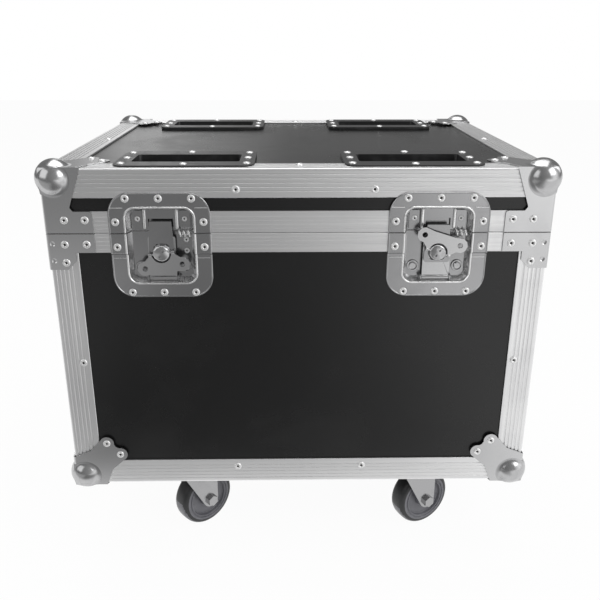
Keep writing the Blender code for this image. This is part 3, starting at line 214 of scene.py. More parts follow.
class Shop:
    """Mesh work that the sub-assemblies share."""

    @staticmethod
    def arc(centre: Point2, radius: float, start: float, end: float, steps: int) -> list[Point2]:
        """Points on an arc.

        Args:
            centre: Centre of the arc.
            radius: Its radius.
            start: First angle in degrees.
            end: Last angle in degrees.
            steps: Number of chords.

        Returns:
            The points, both ends included.
        """
        turns = [math.radians(start + (end - start) * i / steps) for i in range(steps + 1)]
        return [(centre[0] + radius * math.cos(t), centre[1] + radius * math.sin(t)) for t in turns]

    @staticmethod
    def rounded(left: float, low: float, right: float, high: float, radii: Sequence[float],
                steps: int = 8) -> list[Point2]:
        """Rectangle with its own radius at each corner, anticlockwise from the lower left.

        Args:
            left: Left edge.
            low: Lower edge.
            right: Right edge.
            high: Upper edge.
            radii: Four corner radii, 0 for a square corner.
            steps: Chords at each round corner.

        Returns:
            The outline's points.
        """
        corners = ((left, low, 1, 1, 180), (right, low, -1, 1, 270),
                   (right, high, -1, -1, 0), (left, high, 1, -1, 90))
        outline: list[Point2] = []
        for (x, y, to_x, to_y, start), radius in zip(corners, radii):
            if radius:
                outline += Shop.arc((x + to_x * radius, y + to_y * radius), radius, start, start + 90, steps)
            else:
                outline.append((x, y))
        return outline

    @staticmethod
    def piece(bm: Shape, name: str, *materials: Material,
              crease: float = CREASE_ANGLE) -> Piece:
        """Linked object of a bmesh, smooth up to the crease angle but flat on its broad faces.

        Args:
            bm: The shape, which is freed.
            name: The object's name.
            materials: Its material slots.
            crease: Angle past which an edge stays sharp.

        Returns:
            The new object.
        """
        for edge in bm.edges:
            edge.smooth = len(edge.link_faces) == 2 and edge.calc_face_angle(math.pi) < crease
        for polygon in bm.faces:
            area, beside = polygon.calc_area(), []
            for edge in polygon.edges:
                for other in edge.link_faces if edge.smooth else ():
                    if other is not polygon and edge.calc_face_angle() < LEVEL_ANGLE:
                        area += other.calc_area()
                    elif other is not polygon:
                        beside.append(other.calc_area())
            polygon.smooth = bool(beside) and area < BROAD_SHARE * max(beside)
        mesh = bpy.data.meshes.new(name)
        bm.to_mesh(mesh)
        bm.free()
        for material in materials:
            mesh.materials.append(material)
        obj = bpy.data.objects.new(name, mesh)
        bpy.context.scene.collection.objects.link(obj)
        return obj

    @staticmethod
    def cleaned(bm: Shape) -> Shape:
        """Merge doubles and turn the faces outwards."""
        bmesh.ops.remove_doubles(bm, verts=bm.verts, dist=SAME_POINT)
        bmesh.ops.recalc_face_normals(bm, faces=bm.faces)
        return bm

    @staticmethod
    def copy_of(node: Piece) -> Shape:
        """Welded copy of a CAD node, with its flat faces whole again.

        Args:
            node: The CAD node's object.

        Returns:
            The copy.
        """
        bm = bmesh.new()
        bm.from_mesh(node.data)
        bmesh.ops.remove_doubles(bm, verts=bm.verts, dist=MERGE_DISTANCE)
        bmesh.ops.dissolve_limit(bm, angle_limit=FLAT_ANGLE, verts=bm.verts, edges=bm.edges)
        return bm

    @staticmethod
    def facet_groups(bm: Shape,
                     chosen: Test | None = None) -> list[list[bmesh.types.BMEdge]]:
        """Edges between the facets of each round, found by their shallow angle.

        Args:
            bm: The shape.
            chosen: Test of an edge's middle, where only some rounds are wanted.

        Returns:
            Lists of edges that belong together.
        """
        low, high = FACET_ANGLES
        facets = set()
        for edge in bm.edges:
            shallow = len(edge.link_faces) == 2 and low < edge.calc_face_angle(0.0) < high
            if shallow and (chosen is None or chosen((edge.verts[0].co + edge.verts[1].co) / 2)):
                facets.add(edge)
        groups = []
        while facets:
            group, waiting = [], [facets.pop()]
            while waiting:
                edge = waiting.pop()
                group.append(edge)
                for polygon in edge.link_faces:
                    if len(polygon.verts) == 4:
                        near = {other for other in polygon.edges if other in facets}
                        facets -= near
                        waiting += near
            groups.append(group)
        return groups

    @staticmethod
    def round_facets(bm: Shape,
                     chosen: Test | None = None) -> Shape:
        """Replace the facets of each round with finer ones.

        Args:
            bm: The shape.
            chosen: Test of an edge's middle, where only some rounds are wanted.

        Returns:
            The same shape.
        """
        for group in Shop.facet_groups(bm, chosen):
            edges = [edge for edge in group if edge.is_valid]
            reach = []
            for edge in edges:
                for polygon in edge.link_faces:
                    if len(polygon.verts) == 4:
                        reach.append(polygon.calc_area() / max(edge.calc_length(), MERGE_DISTANCE))
            if edges and reach:
                Shop.bevel(bm, edges, FACET_SHARE * min(reach), FACET_STEPS)
        return bm

    @staticmethod
    def bevel(bm: Shape, edges: list[bmesh.types.BMEdge], width: float, segments: int) -> None:
        """Round some edges, as far as their surroundings leave room.

        Args:
            bm: The shape.
            edges: Its edges that change.
            width: Width of the round.
            segments: Faces across it.
        """
        bmesh.ops.bevel(bm, geom=edges, offset=width, offset_type="OFFSET", segments=segments, profile=0.5,
                        affect="EDGES", clamp_overlap=True)

    @staticmethod
    def soften(bm: Shape, width: float, segments: int = 2,
               chosen: Test | None = None) -> Shape:
        """Round the sharp outer edges.

        Args:
            bm: The shape.
            width: Width of the round.
            segments: Faces across it.
            chosen: Test of an edge's middle, where only some edges are rounded.

        Returns:
            The same shape.
        """
        edges = []
        for edge in bm.edges:
            sharp = len(edge.link_faces) == 2 and edge.is_convex and edge.calc_face_angle(0.0) > CREASE_ANGLE
            middle = (edge.verts[0].co + edge.verts[1].co) / 2
            if sharp and (chosen is None or chosen(middle)):
                edges.append(edge)
        if edges:
            Shop.bevel(bm, edges, width, segments)
        return bm

    @staticmethod
    def lathe(profile: Sequence[Point2], steps: int, frame: Matrix, closed: bool = False) -> Shape:
        """Turn (radius, height) points about a frame's Z axis.

        Args:
            profile: The points, from one end to the other.
            steps: Facets round the axis.
            frame: Where the shape stands.
            closed: Whether the last point joins the first.

        Returns:
            The turned shape.
        """
        bm = bmesh.new()
        rings = []
        for i in range(steps):
            turn = 2 * math.pi * i / steps
            rings.append([bm.verts.new((r * math.cos(turn), r * math.sin(turn), z)) for r, z in profile])
        spans = len(profile) if closed else len(profile) - 1
        for here, there in zip(rings, rings[1:] + rings[:1]):
            for i in range(spans):
                j = (i + 1) % len(profile)
                bm.faces.new((here[i], there[i], there[j], here[j]))
        bmesh.ops.remove_doubles(bm, verts=bm.verts, dist=SAME_POINT)
        bmesh.ops.dissolve_degenerate(bm, dist=NO_LENGTH, edges=bm.edges)
        bmesh.ops.recalc_face_normals(bm, faces=bm.faces)
        bm.transform(frame)
        if frame.determinant() < 0:
            bmesh.ops.reverse_faces(bm, faces=bm.faces)
        return bm

    @staticmethod
    def prism(outline: Sequence[Point2], near: float, far: float, frame: Matrix) -> Shape:
        """Plate with an outline in a frame's XY plane, between two levels along its Z.

        Args:
            outline: Anticlockwise points.
            near: Lower level.
            far: Upper level.
            frame: Where the plate stands.

        Returns:
            The plate.
        """
        bm = bmesh.new()
        low = [bm.verts.new((x, y, near)) for x, y in outline]
        high = [bm.verts.new((x, y, far)) for x, y in outline]
        bm.faces.new(low[::-1])
        bm.faces.new(high)
        count = len(outline)
        for i in range(count):
            j = (i + 1) % count
            bm.faces.new((low[i], low[j], high[j], high[i]))
        bm.transform(frame)
        bmesh.ops.recalc_face_normals(bm, faces=bm.faces)
        return bm

    @staticmethod
    def mitred_ring(section: Sequence[Point2], level: float, sizes: CaseSizes) -> Shape:
        """Four lengths of one extrusion round the case, mitred at its corners.

        Args:
            section: Loop of (inwards from the outer face, upwards from the level) points.
            level: World height that the section is measured from.
            sizes: The case's sizes.

        Returns:
            The ring, with slot 0 on the lengths along X and slot 1 on those along Y.
        """
        bm = bmesh.new()
        loops = []
        for side_x, side_y in ((-1, -1), (1, -1), (1, 1), (-1, 1)):
            loops.append([
                bm.verts.new((side_x * (sizes.half_width - a), side_y * (sizes.half_depth - a), level + b))
                for a, b in section
            ])
        for index in range(4):
            here, there = loops[index], loops[(index + 1) % 4]
            for i in range(len(section)):
                j = (i + 1) % len(section)
                polygon = bm.faces.new((here[i], there[i], there[j], here[j]))
                polygon.material_index = index % 2
        bmesh.ops.recalc_face_normals(bm, faces=bm.faces)
        return bm

    @staticmethod
    def tube(points: Sequence[Vector], radius: float, name: str, cyclic: bool = False,
             resolution: int = 3) -> Shape:
        """Round bar along a route.

        Args:
            points: The route.
            radius: The bar's radius.
            name: Name of the short-lived curve.
            cyclic: Whether the route closes on itself.
            resolution: Roundness of the bar.

        Returns:
            The bar, with flat ends.
        """
        curve = bpy.data.curves.new(name, "CURVE")
        curve.dimensions = "3D"
        curve.bevel_depth = radius
        curve.bevel_resolution = resolution
        curve.use_fill_caps = True
        spline = curve.splines.new("POLY")
        spline.points.add(len(points) - 1)
        for point, place in zip(spline.points, points):
            point.co = (*place, 1.0)
        spline.use_cyclic_u = cyclic
        holder = bpy.data.objects.new(name, curve)
        bpy.context.scene.collection.objects.link(holder)
        graph = bpy.context.evaluated_depsgraph_get()
        mesh = bpy.data.meshes.new_from_object(holder.evaluated_get(graph))
        bpy.data.objects.remove(holder, do_unlink=True)
        bpy.data.curves.remove(curve)
        bm = bmesh.new()
        bm.from_mesh(mesh)
        bpy.data.meshes.remove(mesh)
        return Shop.cleaned(bm)

    @staticmethod
    def absorb(bm: Shape, other: Shape, slot: int) -> None:
        """Add another shape to a shape, in a material slot, and free it.

        Args:
            bm: The shape that grows.
            other: The shape that is added.
            slot: Material slot of the added faces.
        """
        for polygon in other.faces:
            polygon.material_index = slot
        mesh = bpy.data.meshes.new("absorbed")
        other.to_mesh(mesh)
        other.free()
        bm.from_mesh(mesh)
        bpy.data.meshes.remove(mesh)

    @staticmethod
    def taken(obj: Piece) -> Shape:
        """Shape of an object that is used up, with the hairline gaps that booleans leave welded shut.

        Args:
            obj: The object.

        Returns:
            Its shape.
        """
        bm = bmesh.new()
        bm.from_mesh(obj.data)
        bmesh.ops.remove_doubles(bm, verts=bm.verts, dist=WELD_DISTANCE)
        Shop.discard(obj)
        return bm

    @staticmethod
    def discard(obj: Piece) -> None:
        """Remove an object and its mesh."""
        mesh = obj.data
        bpy.data.objects.remove(obj, do_unlink=True)
        bpy.data.meshes.remove(mesh)

    @staticmethod
    def settle(obj: Piece) -> Piece:
        """Turn an object's modifiers into a plain mesh.

        Args:
            obj: The object.

        Returns:
            The same object without modifiers.
        """
        graph = bpy.context.evaluated_depsgraph_get()
        mesh = bpy.data.meshes.new_from_object(obj.evaluated_get(graph), preserve_all_data_layers=True,
                                               depsgraph=graph)
        old = obj.data
        obj.modifiers.clear()
        mesh.name = obj.name
        obj.data = mesh
        bpy.data.meshes.remove(old)
        return obj

    @staticmethod
    def combine(obj: Piece, tool: Shape, operation: str) -> Piece:
        """Boolean with a shape that is used up.

        Args:
            obj: The object that changes.
            tool: The other shape.
            operation: UNION or DIFFERENCE.

        Returns:
            The same object.
        """
        cutter = Shop.piece(tool, f"{obj.name}_tool")
        modifier = obj.modifiers.new("combine", "BOOLEAN")
        modifier.operation = operation
        modifier.solver = "EXACT"
        modifier.object = cutter
        Shop.settle(obj)
        Shop.discard(cutter)
        return obj


# Finishes


class Graph:
    """Short way to add and link nodes in one node tree."""

    def __init__(self, tree: Tree) -> None:
        """Keep the tree that nodes go into."""
        self.tree = tree

    def add(self, kind: str, settings: dict | None = None, **inputs: object) -> Node:
        """Add a node.

        Args:
            kind: The node's type name.
            settings: Properties of the node.
            inputs: Values or sockets by input name, with spaces written as underscores.

        Returns:
            The node.
        """
        node = self.tree.nodes.new(kind)
        for key, value in (settings or {}).items():
            setattr(node, key, value)
        for key, value in inputs.items():
            self.feed(node, key.replace("_", " "), value)
        return node

    def maths(self, operation: str, *values: object, clamp: bool = False) -> Socket:
        """Add a maths node.

        Args:
            operation: What it does.
            values: Values or sockets, in order.
            clamp: Whether the result stays between 0 and 1.

        Returns:
            The socket with the result.
        """
        node = self.add("ShaderNodeMath", {"operation": operation, "use_clamp": clamp})
        for index, value in enumerate(values):
            self.feed(node, index, value)
        return node.outputs[0]

    def feed(self, node: Node, name: str | int, value: object) -> None:
        """Link a socket to an input, or set the input's own value.

        Args:
            node: The node that is fed.
            name: The input's name or index.
            value: A socket or a plain value.
        """
        target = node.inputs[name]
        if isinstance(value, Socket):
            self.tree.links.new(value, target)
        else:
            target.default_value = value


class SurfaceGroups:
    """Shader node groups that several finishes share."""

    def __init__(self) -> None:
        """Build every group once."""
        self.drawn_lines = self._drawn_lines()
        self.smudges = self._smudges()
        self.scratches = self._scratches()

    @staticmethod
    def _group(name: str, inputs: Sequence[tuple[str, str, object]],
               outputs: Sequence[str]) -> tuple[Tree, Graph, Node, Node]:
        """Empty group with its sockets.

        Args:
            name: The group's name.
            inputs: Name, socket type and default of each input.
            outputs: Names of the value outputs.

        Returns:
            The group, its graph, its input node and its output node.
        """
        tree = bpy.data.node_groups.new(name, "ShaderNodeTree")
        for label, kind, default in inputs:
            socket = tree.interface.new_socket(name=label, in_out="INPUT", socket_type=kind)
            if default is not None:
                socket.default_value = default
        for label in outputs:
            tree.interface.new_socket(name=label, in_out="OUTPUT", socket_type="NodeSocketFloat")
        graph = Graph(tree)
        return tree, graph, graph.add("NodeGroupInput"), graph.add("NodeGroupOutput")

    def _drawn_lines(self) -> Tree:
        """Fine lines along the direction that metal was drawn or brushed."""
        tree, graph, given, result = self._group(
            "drawn_lines",
            (("Position", "NodeSocketVector", None), ("Stretch", "NodeSocketVector", (1.0, 1.0, 1.0)),
             ("Fineness", "NodeSocketFloat", 1.0)),
            ("Lines", "Height"),
        )
        spread = graph.add("ShaderNodeVectorMath", {"operation": "MULTIPLY"})
        graph.feed(spread, 0, given.outputs["Position"])
        graph.feed(spread, 1, given.outputs["Stretch"])
        broad = graph.add("ShaderNodeTexNoise", Vector=spread.outputs[0], Scale=given.outputs["Fineness"],
                          Detail=5.0, Roughness=0.62)
        fine_scale = graph.maths("MULTIPLY", given.outputs["Fineness"], 5.2)
        fine = graph.add("ShaderNodeTexNoise", Vector=spread.outputs[0], Scale=fine_scale, Detail=3.0)
        mixed = graph.add("ShaderNodeMix", {"data_type": "FLOAT"}, Factor=0.4)
        graph.feed(mixed, "A", broad.outputs["Fac"])
        graph.feed(mixed, "B", fine.outputs["Fac"])
        lines = graph.add("ShaderNodeMapRange", Value=mixed.outputs[0], From_Min=0.34, From_Max=0.66)
        graph.feed(result, "Lines", lines.outputs[0])
        graph.feed(result, "Height", mixed.outputs[0])
        return tree

    def _smudges(self) -> Tree:
        """Soft patches of handling marks and dust."""
        tree, graph, given, result = self._group(
            "smudges",
            (("Position", "NodeSocketVector", None), ("Scale", "NodeSocketFloat", 20.0),
             ("Low", "NodeSocketFloat", 0.45), ("High", "NodeSocketFloat", 0.75)),
            ("Mask",),
        )
        noise = graph.add("ShaderNodeTexNoise", Vector=given.outputs["Position"], Scale=given.outputs["Scale"],
                          Detail=7.0, Roughness=0.58, Distortion=0.35)
        mask = graph.add("ShaderNodeMapRange", {"interpolation_type": "SMOOTHSTEP"}, Value=noise.outputs["Fac"],
                         From_Min=given.outputs["Low"], From_Max=given.outputs["High"])
        graph.feed(result, "Mask", mask.outputs[0])
        return tree

    def _scratches(self) -> Tree:
        """Thin hairline scratches in crossing directions."""
        tree, graph, given, result = self._group(
            "scratches",
            (("Position", "NodeSocketVector", None), ("Scale", "NodeSocketFloat", 30.0),
             ("Width", "NodeSocketFloat", 0.02)),
            ("Mask",),
        )
        bent = graph.add("ShaderNodeTexNoise", {"noise_dimensions": "3D"}, Vector=given.outputs["Position"], Scale=9.0)
        warped = graph.add("ShaderNodeVectorMath", {"operation": "MULTIPLY_ADD"})
        graph.feed(warped, 0, bent.outputs["Color"])
        graph.feed(warped, 1, (0.05, 0.05, 0.05))
        graph.feed(warped, 2, given.outputs["Position"])
        cells = graph.add("ShaderNodeTexVoronoi", {"feature": "DISTANCE_TO_EDGE"}, Vector=warped.outputs[0],
                          Scale=given.outputs["Scale"])
        thin = graph.maths("LESS_THAN", cells.outputs["Distance"], given.outputs["Width"])
        gaps = graph.add("ShaderNodeTexNoise", Vector=given.outputs["Position"], Scale=14.0, Detail=3.0)
        broken = graph.add("ShaderNodeMapRange", Value=gaps.outputs["Fac"], From_Min=0.56, From_Max=0.68)
        mask = graph.maths("MULTIPLY", thin, broken.outputs[0])
        graph.feed(result, "Mask", mask)
        return tree


@dataclass(frozen=True)
class Finish:
    """A surface: its colours, its roughness and how it is marked."""

    name: str
    colour: Colour
    marked: Colour
    roughness: float
    marked_roughness: float
    metallic: float

    def _start(self) -> tuple[Material, Graph, Node, Socket]:
        """Material with its shader and its Object coordinates.

        Returns:
            The material, its graph, its Principled shader and the position socket.
        """
        material = bpy.data.materials.new(self.name)
        material.use_nodes = True
        material.diffuse_color = (*self.colour, 1.0)
        graph = Graph(material.node_tree)
        shader = material.node_tree.nodes["Principled BSDF"]
        shader.inputs["Metallic"].default_value = self.metallic
        place = graph.add("ShaderNodeTexCoord")
        return material, graph, shader, place.outputs["Object"]

    def _tint(self, graph: Graph, shader: Node, mask: Socket) -> None:
        """Mix both colours and both roughnesses by a mask.

        Args:
            graph: The material's graph.
            shader: Its Principled shader.
            mask: 0 for the clean surface and 1 for the marked one.
        """
        colour = graph.add("ShaderNodeMix", {"data_type": "RGBA"})
        graph.feed(colour, 0, mask)
        graph.feed(colour, 6, (*self.colour, 1.0))
        graph.feed(colour, 7, (*self.marked, 1.0))
        graph.feed(shader, "Base Color", colour.outputs[2])
        rough = graph.add("ShaderNodeMapRange", Value=mask, To_Min=self.roughness, To_Max=self.marked_roughness)
        graph.feed(shader, "Roughness", rough.outputs[0])

    @staticmethod
    def _bump(graph: Graph, shader: Node, height: Socket, strength: float,
              distance: float) -> None:
        """Feed a height to the shader's normal.

        Args:
            graph: The material's graph.
            shader: Its Principled shader.
            height: The height.
            strength: Strength of the bump.
            distance: Depth of the bump in metres.
        """
        bump = graph.add("ShaderNodeBump", Strength=strength, Distance=distance, Height=height)
        graph.feed(shader, "Normal", bump.outputs[0])


@dataclass(frozen=True)
class DrawnMetal(Finish):
    """Metal with lines along one direction, as on extrusions and brushed sheet."""

    stretch: tuple[float, float, float] = (1.0, 1.0, 1.0)
    fineness: float = 1.0
    line_depth: float = 0.00006
    line_strength: float = 0.5

    def build(self, groups: SurfaceGroups) -> Material:
        """Make the material.

        Args:
            groups: The shared node groups.

        Returns:
            The material.
        """
        material, graph, shader, place = self._start()
        lines = graph.add("ShaderNodeGroup", {"node_tree": groups.drawn_lines}, Position=place, Stretch=self.stretch,
                          Fineness=self.fineness)
        smudge = graph.add("ShaderNodeGroup", {"node_tree": groups.smudges}, Position=place, Scale=16.0)
        mask = graph.maths("MULTIPLY_ADD", smudge.outputs["Mask"], 0.35, lines.outputs["Lines"], clamp=True)
        self._tint(graph, shader, mask)
        self._bump(graph, shader, lines.outputs["Height"], self.line_strength, self.line_depth)
        return material


@dataclass(frozen=True)
class MarkedSurface(Finish):
    """Surface with handling marks and a fine grain, as on plated, painted or laminated parts."""

    smudge_scale: float = 20.0
    smudge_low: float = 0.45
    smudge_high: float = 0.75
    scratch_scale: float = 30.0
    scratch_width: float = 0.01
    scratch_share: float = 0.4
    grain_scale: float = 900.0
    grain_depth: float = 0.00003
    grain_strength: float = 0.25
    coat: float = 0.0
    specular: float = 0.5

    def build(self, groups: SurfaceGroups) -> Material:
        """Make the material.

        Args:
            groups: The shared node groups.

        Returns:
            The material.
        """
        material, graph, shader, place = self._start()
        smudge = graph.add("ShaderNodeGroup", {"node_tree": groups.smudges}, Position=place, Scale=self.smudge_scale,
                           Low=self.smudge_low, High=self.smudge_high)
        scratch = graph.add("ShaderNodeGroup", {"node_tree": groups.scratches}, Position=place,
                            Scale=self.scratch_scale, Width=self.scratch_width)
        mask = graph.maths("MULTIPLY_ADD", scratch.outputs["Mask"], self.scratch_share,
                           smudge.outputs["Mask"], clamp=True)
        self._tint(graph, shader, mask)
        grain = graph.add("ShaderNodeTexNoise", Vector=place, Scale=self.grain_scale, Detail=2.0)
        self._bump(graph, shader, grain.outputs["Fac"], self.grain_strength, self.grain_depth)
        shader.inputs["Coat Weight"].default_value = self.coat
        shader.inputs["Specular IOR Level"].default_value = self.specular
        return material


@dataclass
class Finishes:
    """Every material of the case."""

    groups: SurfaceGroups = field(default_factory=SurfaceGroups)

    def __post_init__(self) -> None:
        """Build the materials."""
        groups = self.groups
        self.aluminium = {
            grain: DrawnMetal(
                f"drawn_aluminium_{grain.name.lower()}", (0.92, 0.92, 0.92), (0.78, 0.78, 0.785), 0.28, 0.42, 1.0,
                stretch=grain.value, fineness=1.0,
            ).build(groups)
            for grain in Grain
        }
        self.zinc = MarkedSurface(
            "zinc_plated_sheet", (0.60, 0.60, 0.605), (0.52, 0.52, 0.525), 0.22, 0.30, 1.0, smudge_scale=14.0,
            smudge_low=0.50, smudge_high=0.92, scratch_scale=45.0, scratch_width=0.006, scratch_share=0.25,
            grain_scale=420.0, grain_depth=0.00001, grain_strength=0.06,
        ).build(groups)
        # Darker copy of the plated zinc: painted shade on the latch dishes, hook, hem, tabs and castor forks.
        self.latch_zinc = MarkedSurface(
            "zinc_plated_latch", (0.41, 0.41, 0.415), (0.34, 0.34, 0.345), 0.20, 0.28, 1.0, smudge_scale=22.0,
            smudge_low=0.50, smudge_high=0.92, scratch_scale=60.0, scratch_width=0.006, scratch_share=0.25,
            grain_scale=420.0, grain_depth=0.00001, grain_strength=0.06,
        ).build(groups)
        # Darker copy of the plated zinc for the balls, flares, spindles and bolts: painted shade in the reflections of
        # these round parts.
        self.polished = MarkedSurface(
            "polished_zinc", (0.52, 0.52, 0.525), (0.40, 0.40, 0.405), 0.20, 0.32, 1.0, smudge_scale=60.0,
            scratch_share=0.6, grain_scale=300.0, grain_depth=0.00001,
        ).build(groups)
        # Lighter copy of the plated zinc: painted highlight on the latch lips, sloping pan walls, folds, rails and
        # springs.
        self.bright = MarkedSurface(
            "bright_zinc", (0.90, 0.90, 0.90), (0.78, 0.78, 0.785), 0.22, 0.32, 0.9, smudge_scale=60.0,
            scratch_share=0.2, grain_scale=500.0, grain_depth=0.00001, grain_strength=0.1,
        ).build(groups)
        self.rivet = MarkedSurface(
            "bright_rivet", (0.93, 0.93, 0.93), (0.84, 0.84, 0.84), 0.32, 0.42, 0.8, smudge_scale=240.0,
            scratch_share=0.2, grain_scale=800.0,
        ).build(groups)
        # Near-black metal for the stem inside each rivet head: painted shade of the hole.
        self.stem = MarkedSurface(
            "dark_rivet_stem", (0.060, 0.058, 0.056), (0.10, 0.095, 0.09), 0.5, 0.6, 1.0, smudge_scale=300.0,
        ).build(groups)
        self.laminate = MarkedSurface(
            "black_laminate", (0.007, 0.007, 0.0072), (0.010, 0.010, 0.0102), 0.24, 0.34, 0.0, smudge_scale=9.0,
            scratch_scale=12.0, scratch_width=0.004, scratch_share=0.25, grain_scale=1400.0, grain_depth=0.00004,
            grain_strength=0.3,
        ).build(groups)
        self.cup_paint = MarkedSurface(
            "black_cup_paint", (0.035, 0.035, 0.036), (0.06, 0.06, 0.061), 0.34, 0.5, 0.35, smudge_scale=45.0,
            scratch_scale=60.0, grain_scale=1100.0, grain_depth=0.00004,
        ).build(groups)
        self.tyre = MarkedSurface(
            "grey_tyre", (0.17, 0.17, 0.19), (0.23, 0.23, 0.25), 0.36, 0.5, 0.0, smudge_scale=50.0,
            scratch_scale=80.0, grain_scale=700.0, grain_depth=0.00006, coat=0.15,
        ).build(groups)
        # Tread rubber, darker than the sides: partly its own darker tone and partly painted shade on the tread.
        self.tread = MarkedSurface(
            "dark_tread", (0.016, 0.017, 0.018), (0.032, 0.032, 0.034), 0.45, 0.6, 0.0, smudge_scale=50.0,
            scratch_scale=80.0, grain_scale=700.0, grain_depth=0.00006, coat=0.1,
        ).build(groups)
        self.grip = MarkedSurface(
            "black_grip", (0.018, 0.018, 0.019), (0.035, 0.035, 0.036), 0.5, 0.62, 0.0, smudge_scale=70.0,
            grain_scale=1200.0, grain_depth=0.00008, grain_strength=0.4,
        ).build(groups)


# Sub-assemblies


@dataclass
class Workshop:
    """What every sub-assembly works with: the frame, the sizes and the finishes."""

    frame: dict
    sizes: CaseSizes
    finishes: Finishes
    node_bodies: dict[str, str] = field(default_factory=dict)

    def __post_init__(self) -> None:
        """Note the body of every CAD node."""
        for body, nodes in self.frame["record"]["behaviour"]["bodies"].items():
            for node in nodes:
                self.node_bodies[node] = body

    def place(self, obj: Piece, body: str, slot: str, *nodes: str) -> Piece:
        """Fix a piece to its body and hide the CAD nodes that it stands for.

        Args:
            obj: The piece.
            body: The body that it rides on.
            slot: The record's material slot; not used.
            nodes: CAD nodes that it replaces.

        Returns:
            The piece.
        """
        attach(obj, body)
        if nodes:
            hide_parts(*nodes)
        LOG.info("%s rides on %s", obj.name, body)
        return obj

    def dress(self, node: str, slot: str, material: Material, width: float, segments: int = 2,
              reshape: Move | None = None,
              chosen: Test | None = None) -> Piece:
        """Stand a softened copy of a CAD node in the node's place.

        Args:
            node: The node's name.
            slot: The record's material slot.
            material: The finish.
            width: Width of the rounds on its outer edges.
            segments: Faces across a round.
            reshape: Where each point of the copy goes, if it changes.
            chosen: Test of an edge's middle, where only some edges are rounded.

        Returns:
            The copy.
        """
        shape = Shop.copy_of(self.frame["nodes"][node])
        if reshape is not None:
            for vertex in shape.verts:
                vertex.co = reshape(vertex.co)
        Shop.soften(Shop.round_facets(shape), width, segments, chosen)
        return self.place(Shop.piece(shape, f"{node}_dressed", material), self.node_bodies[node], slot, node)

    def joint(self, name: str) -> tuple[Vector, Vector]:
        """Place and axis of a joint.

        Args:
            name: The joint's name.

        Returns:
            A point on the joint and its axis.
        """
        for joint in self.frame["joints"]:
            if joint["name"] == name:
                return Vector(joint["pos_m"]), Vector(joint["axis"]).normalized()
        raise KeyError(name)


CORNERS = {"front_left": (-1, -1), "front_right": (1, -1), "back_left": (-1, 1), "back_right": (1, 1)}
SIDES = {"left": -1, "right": 1}


@dataclass
class Panels:
    """Laminated plywood of the base and the lid."""

    shop: Workshop
    edge_round: float = 0.0004

    def build(self) -> None:
        """Dress every panel."""
        names = [f"base_{side}_panel" for side in ("floor", "front", "back", "left", "right")]
        for node in (*names, "lid_top_panel", "lid_wall_ring"):
            self.shop.dress(node, "laminate", self.shop.finishes.laminate, self.edge_round)


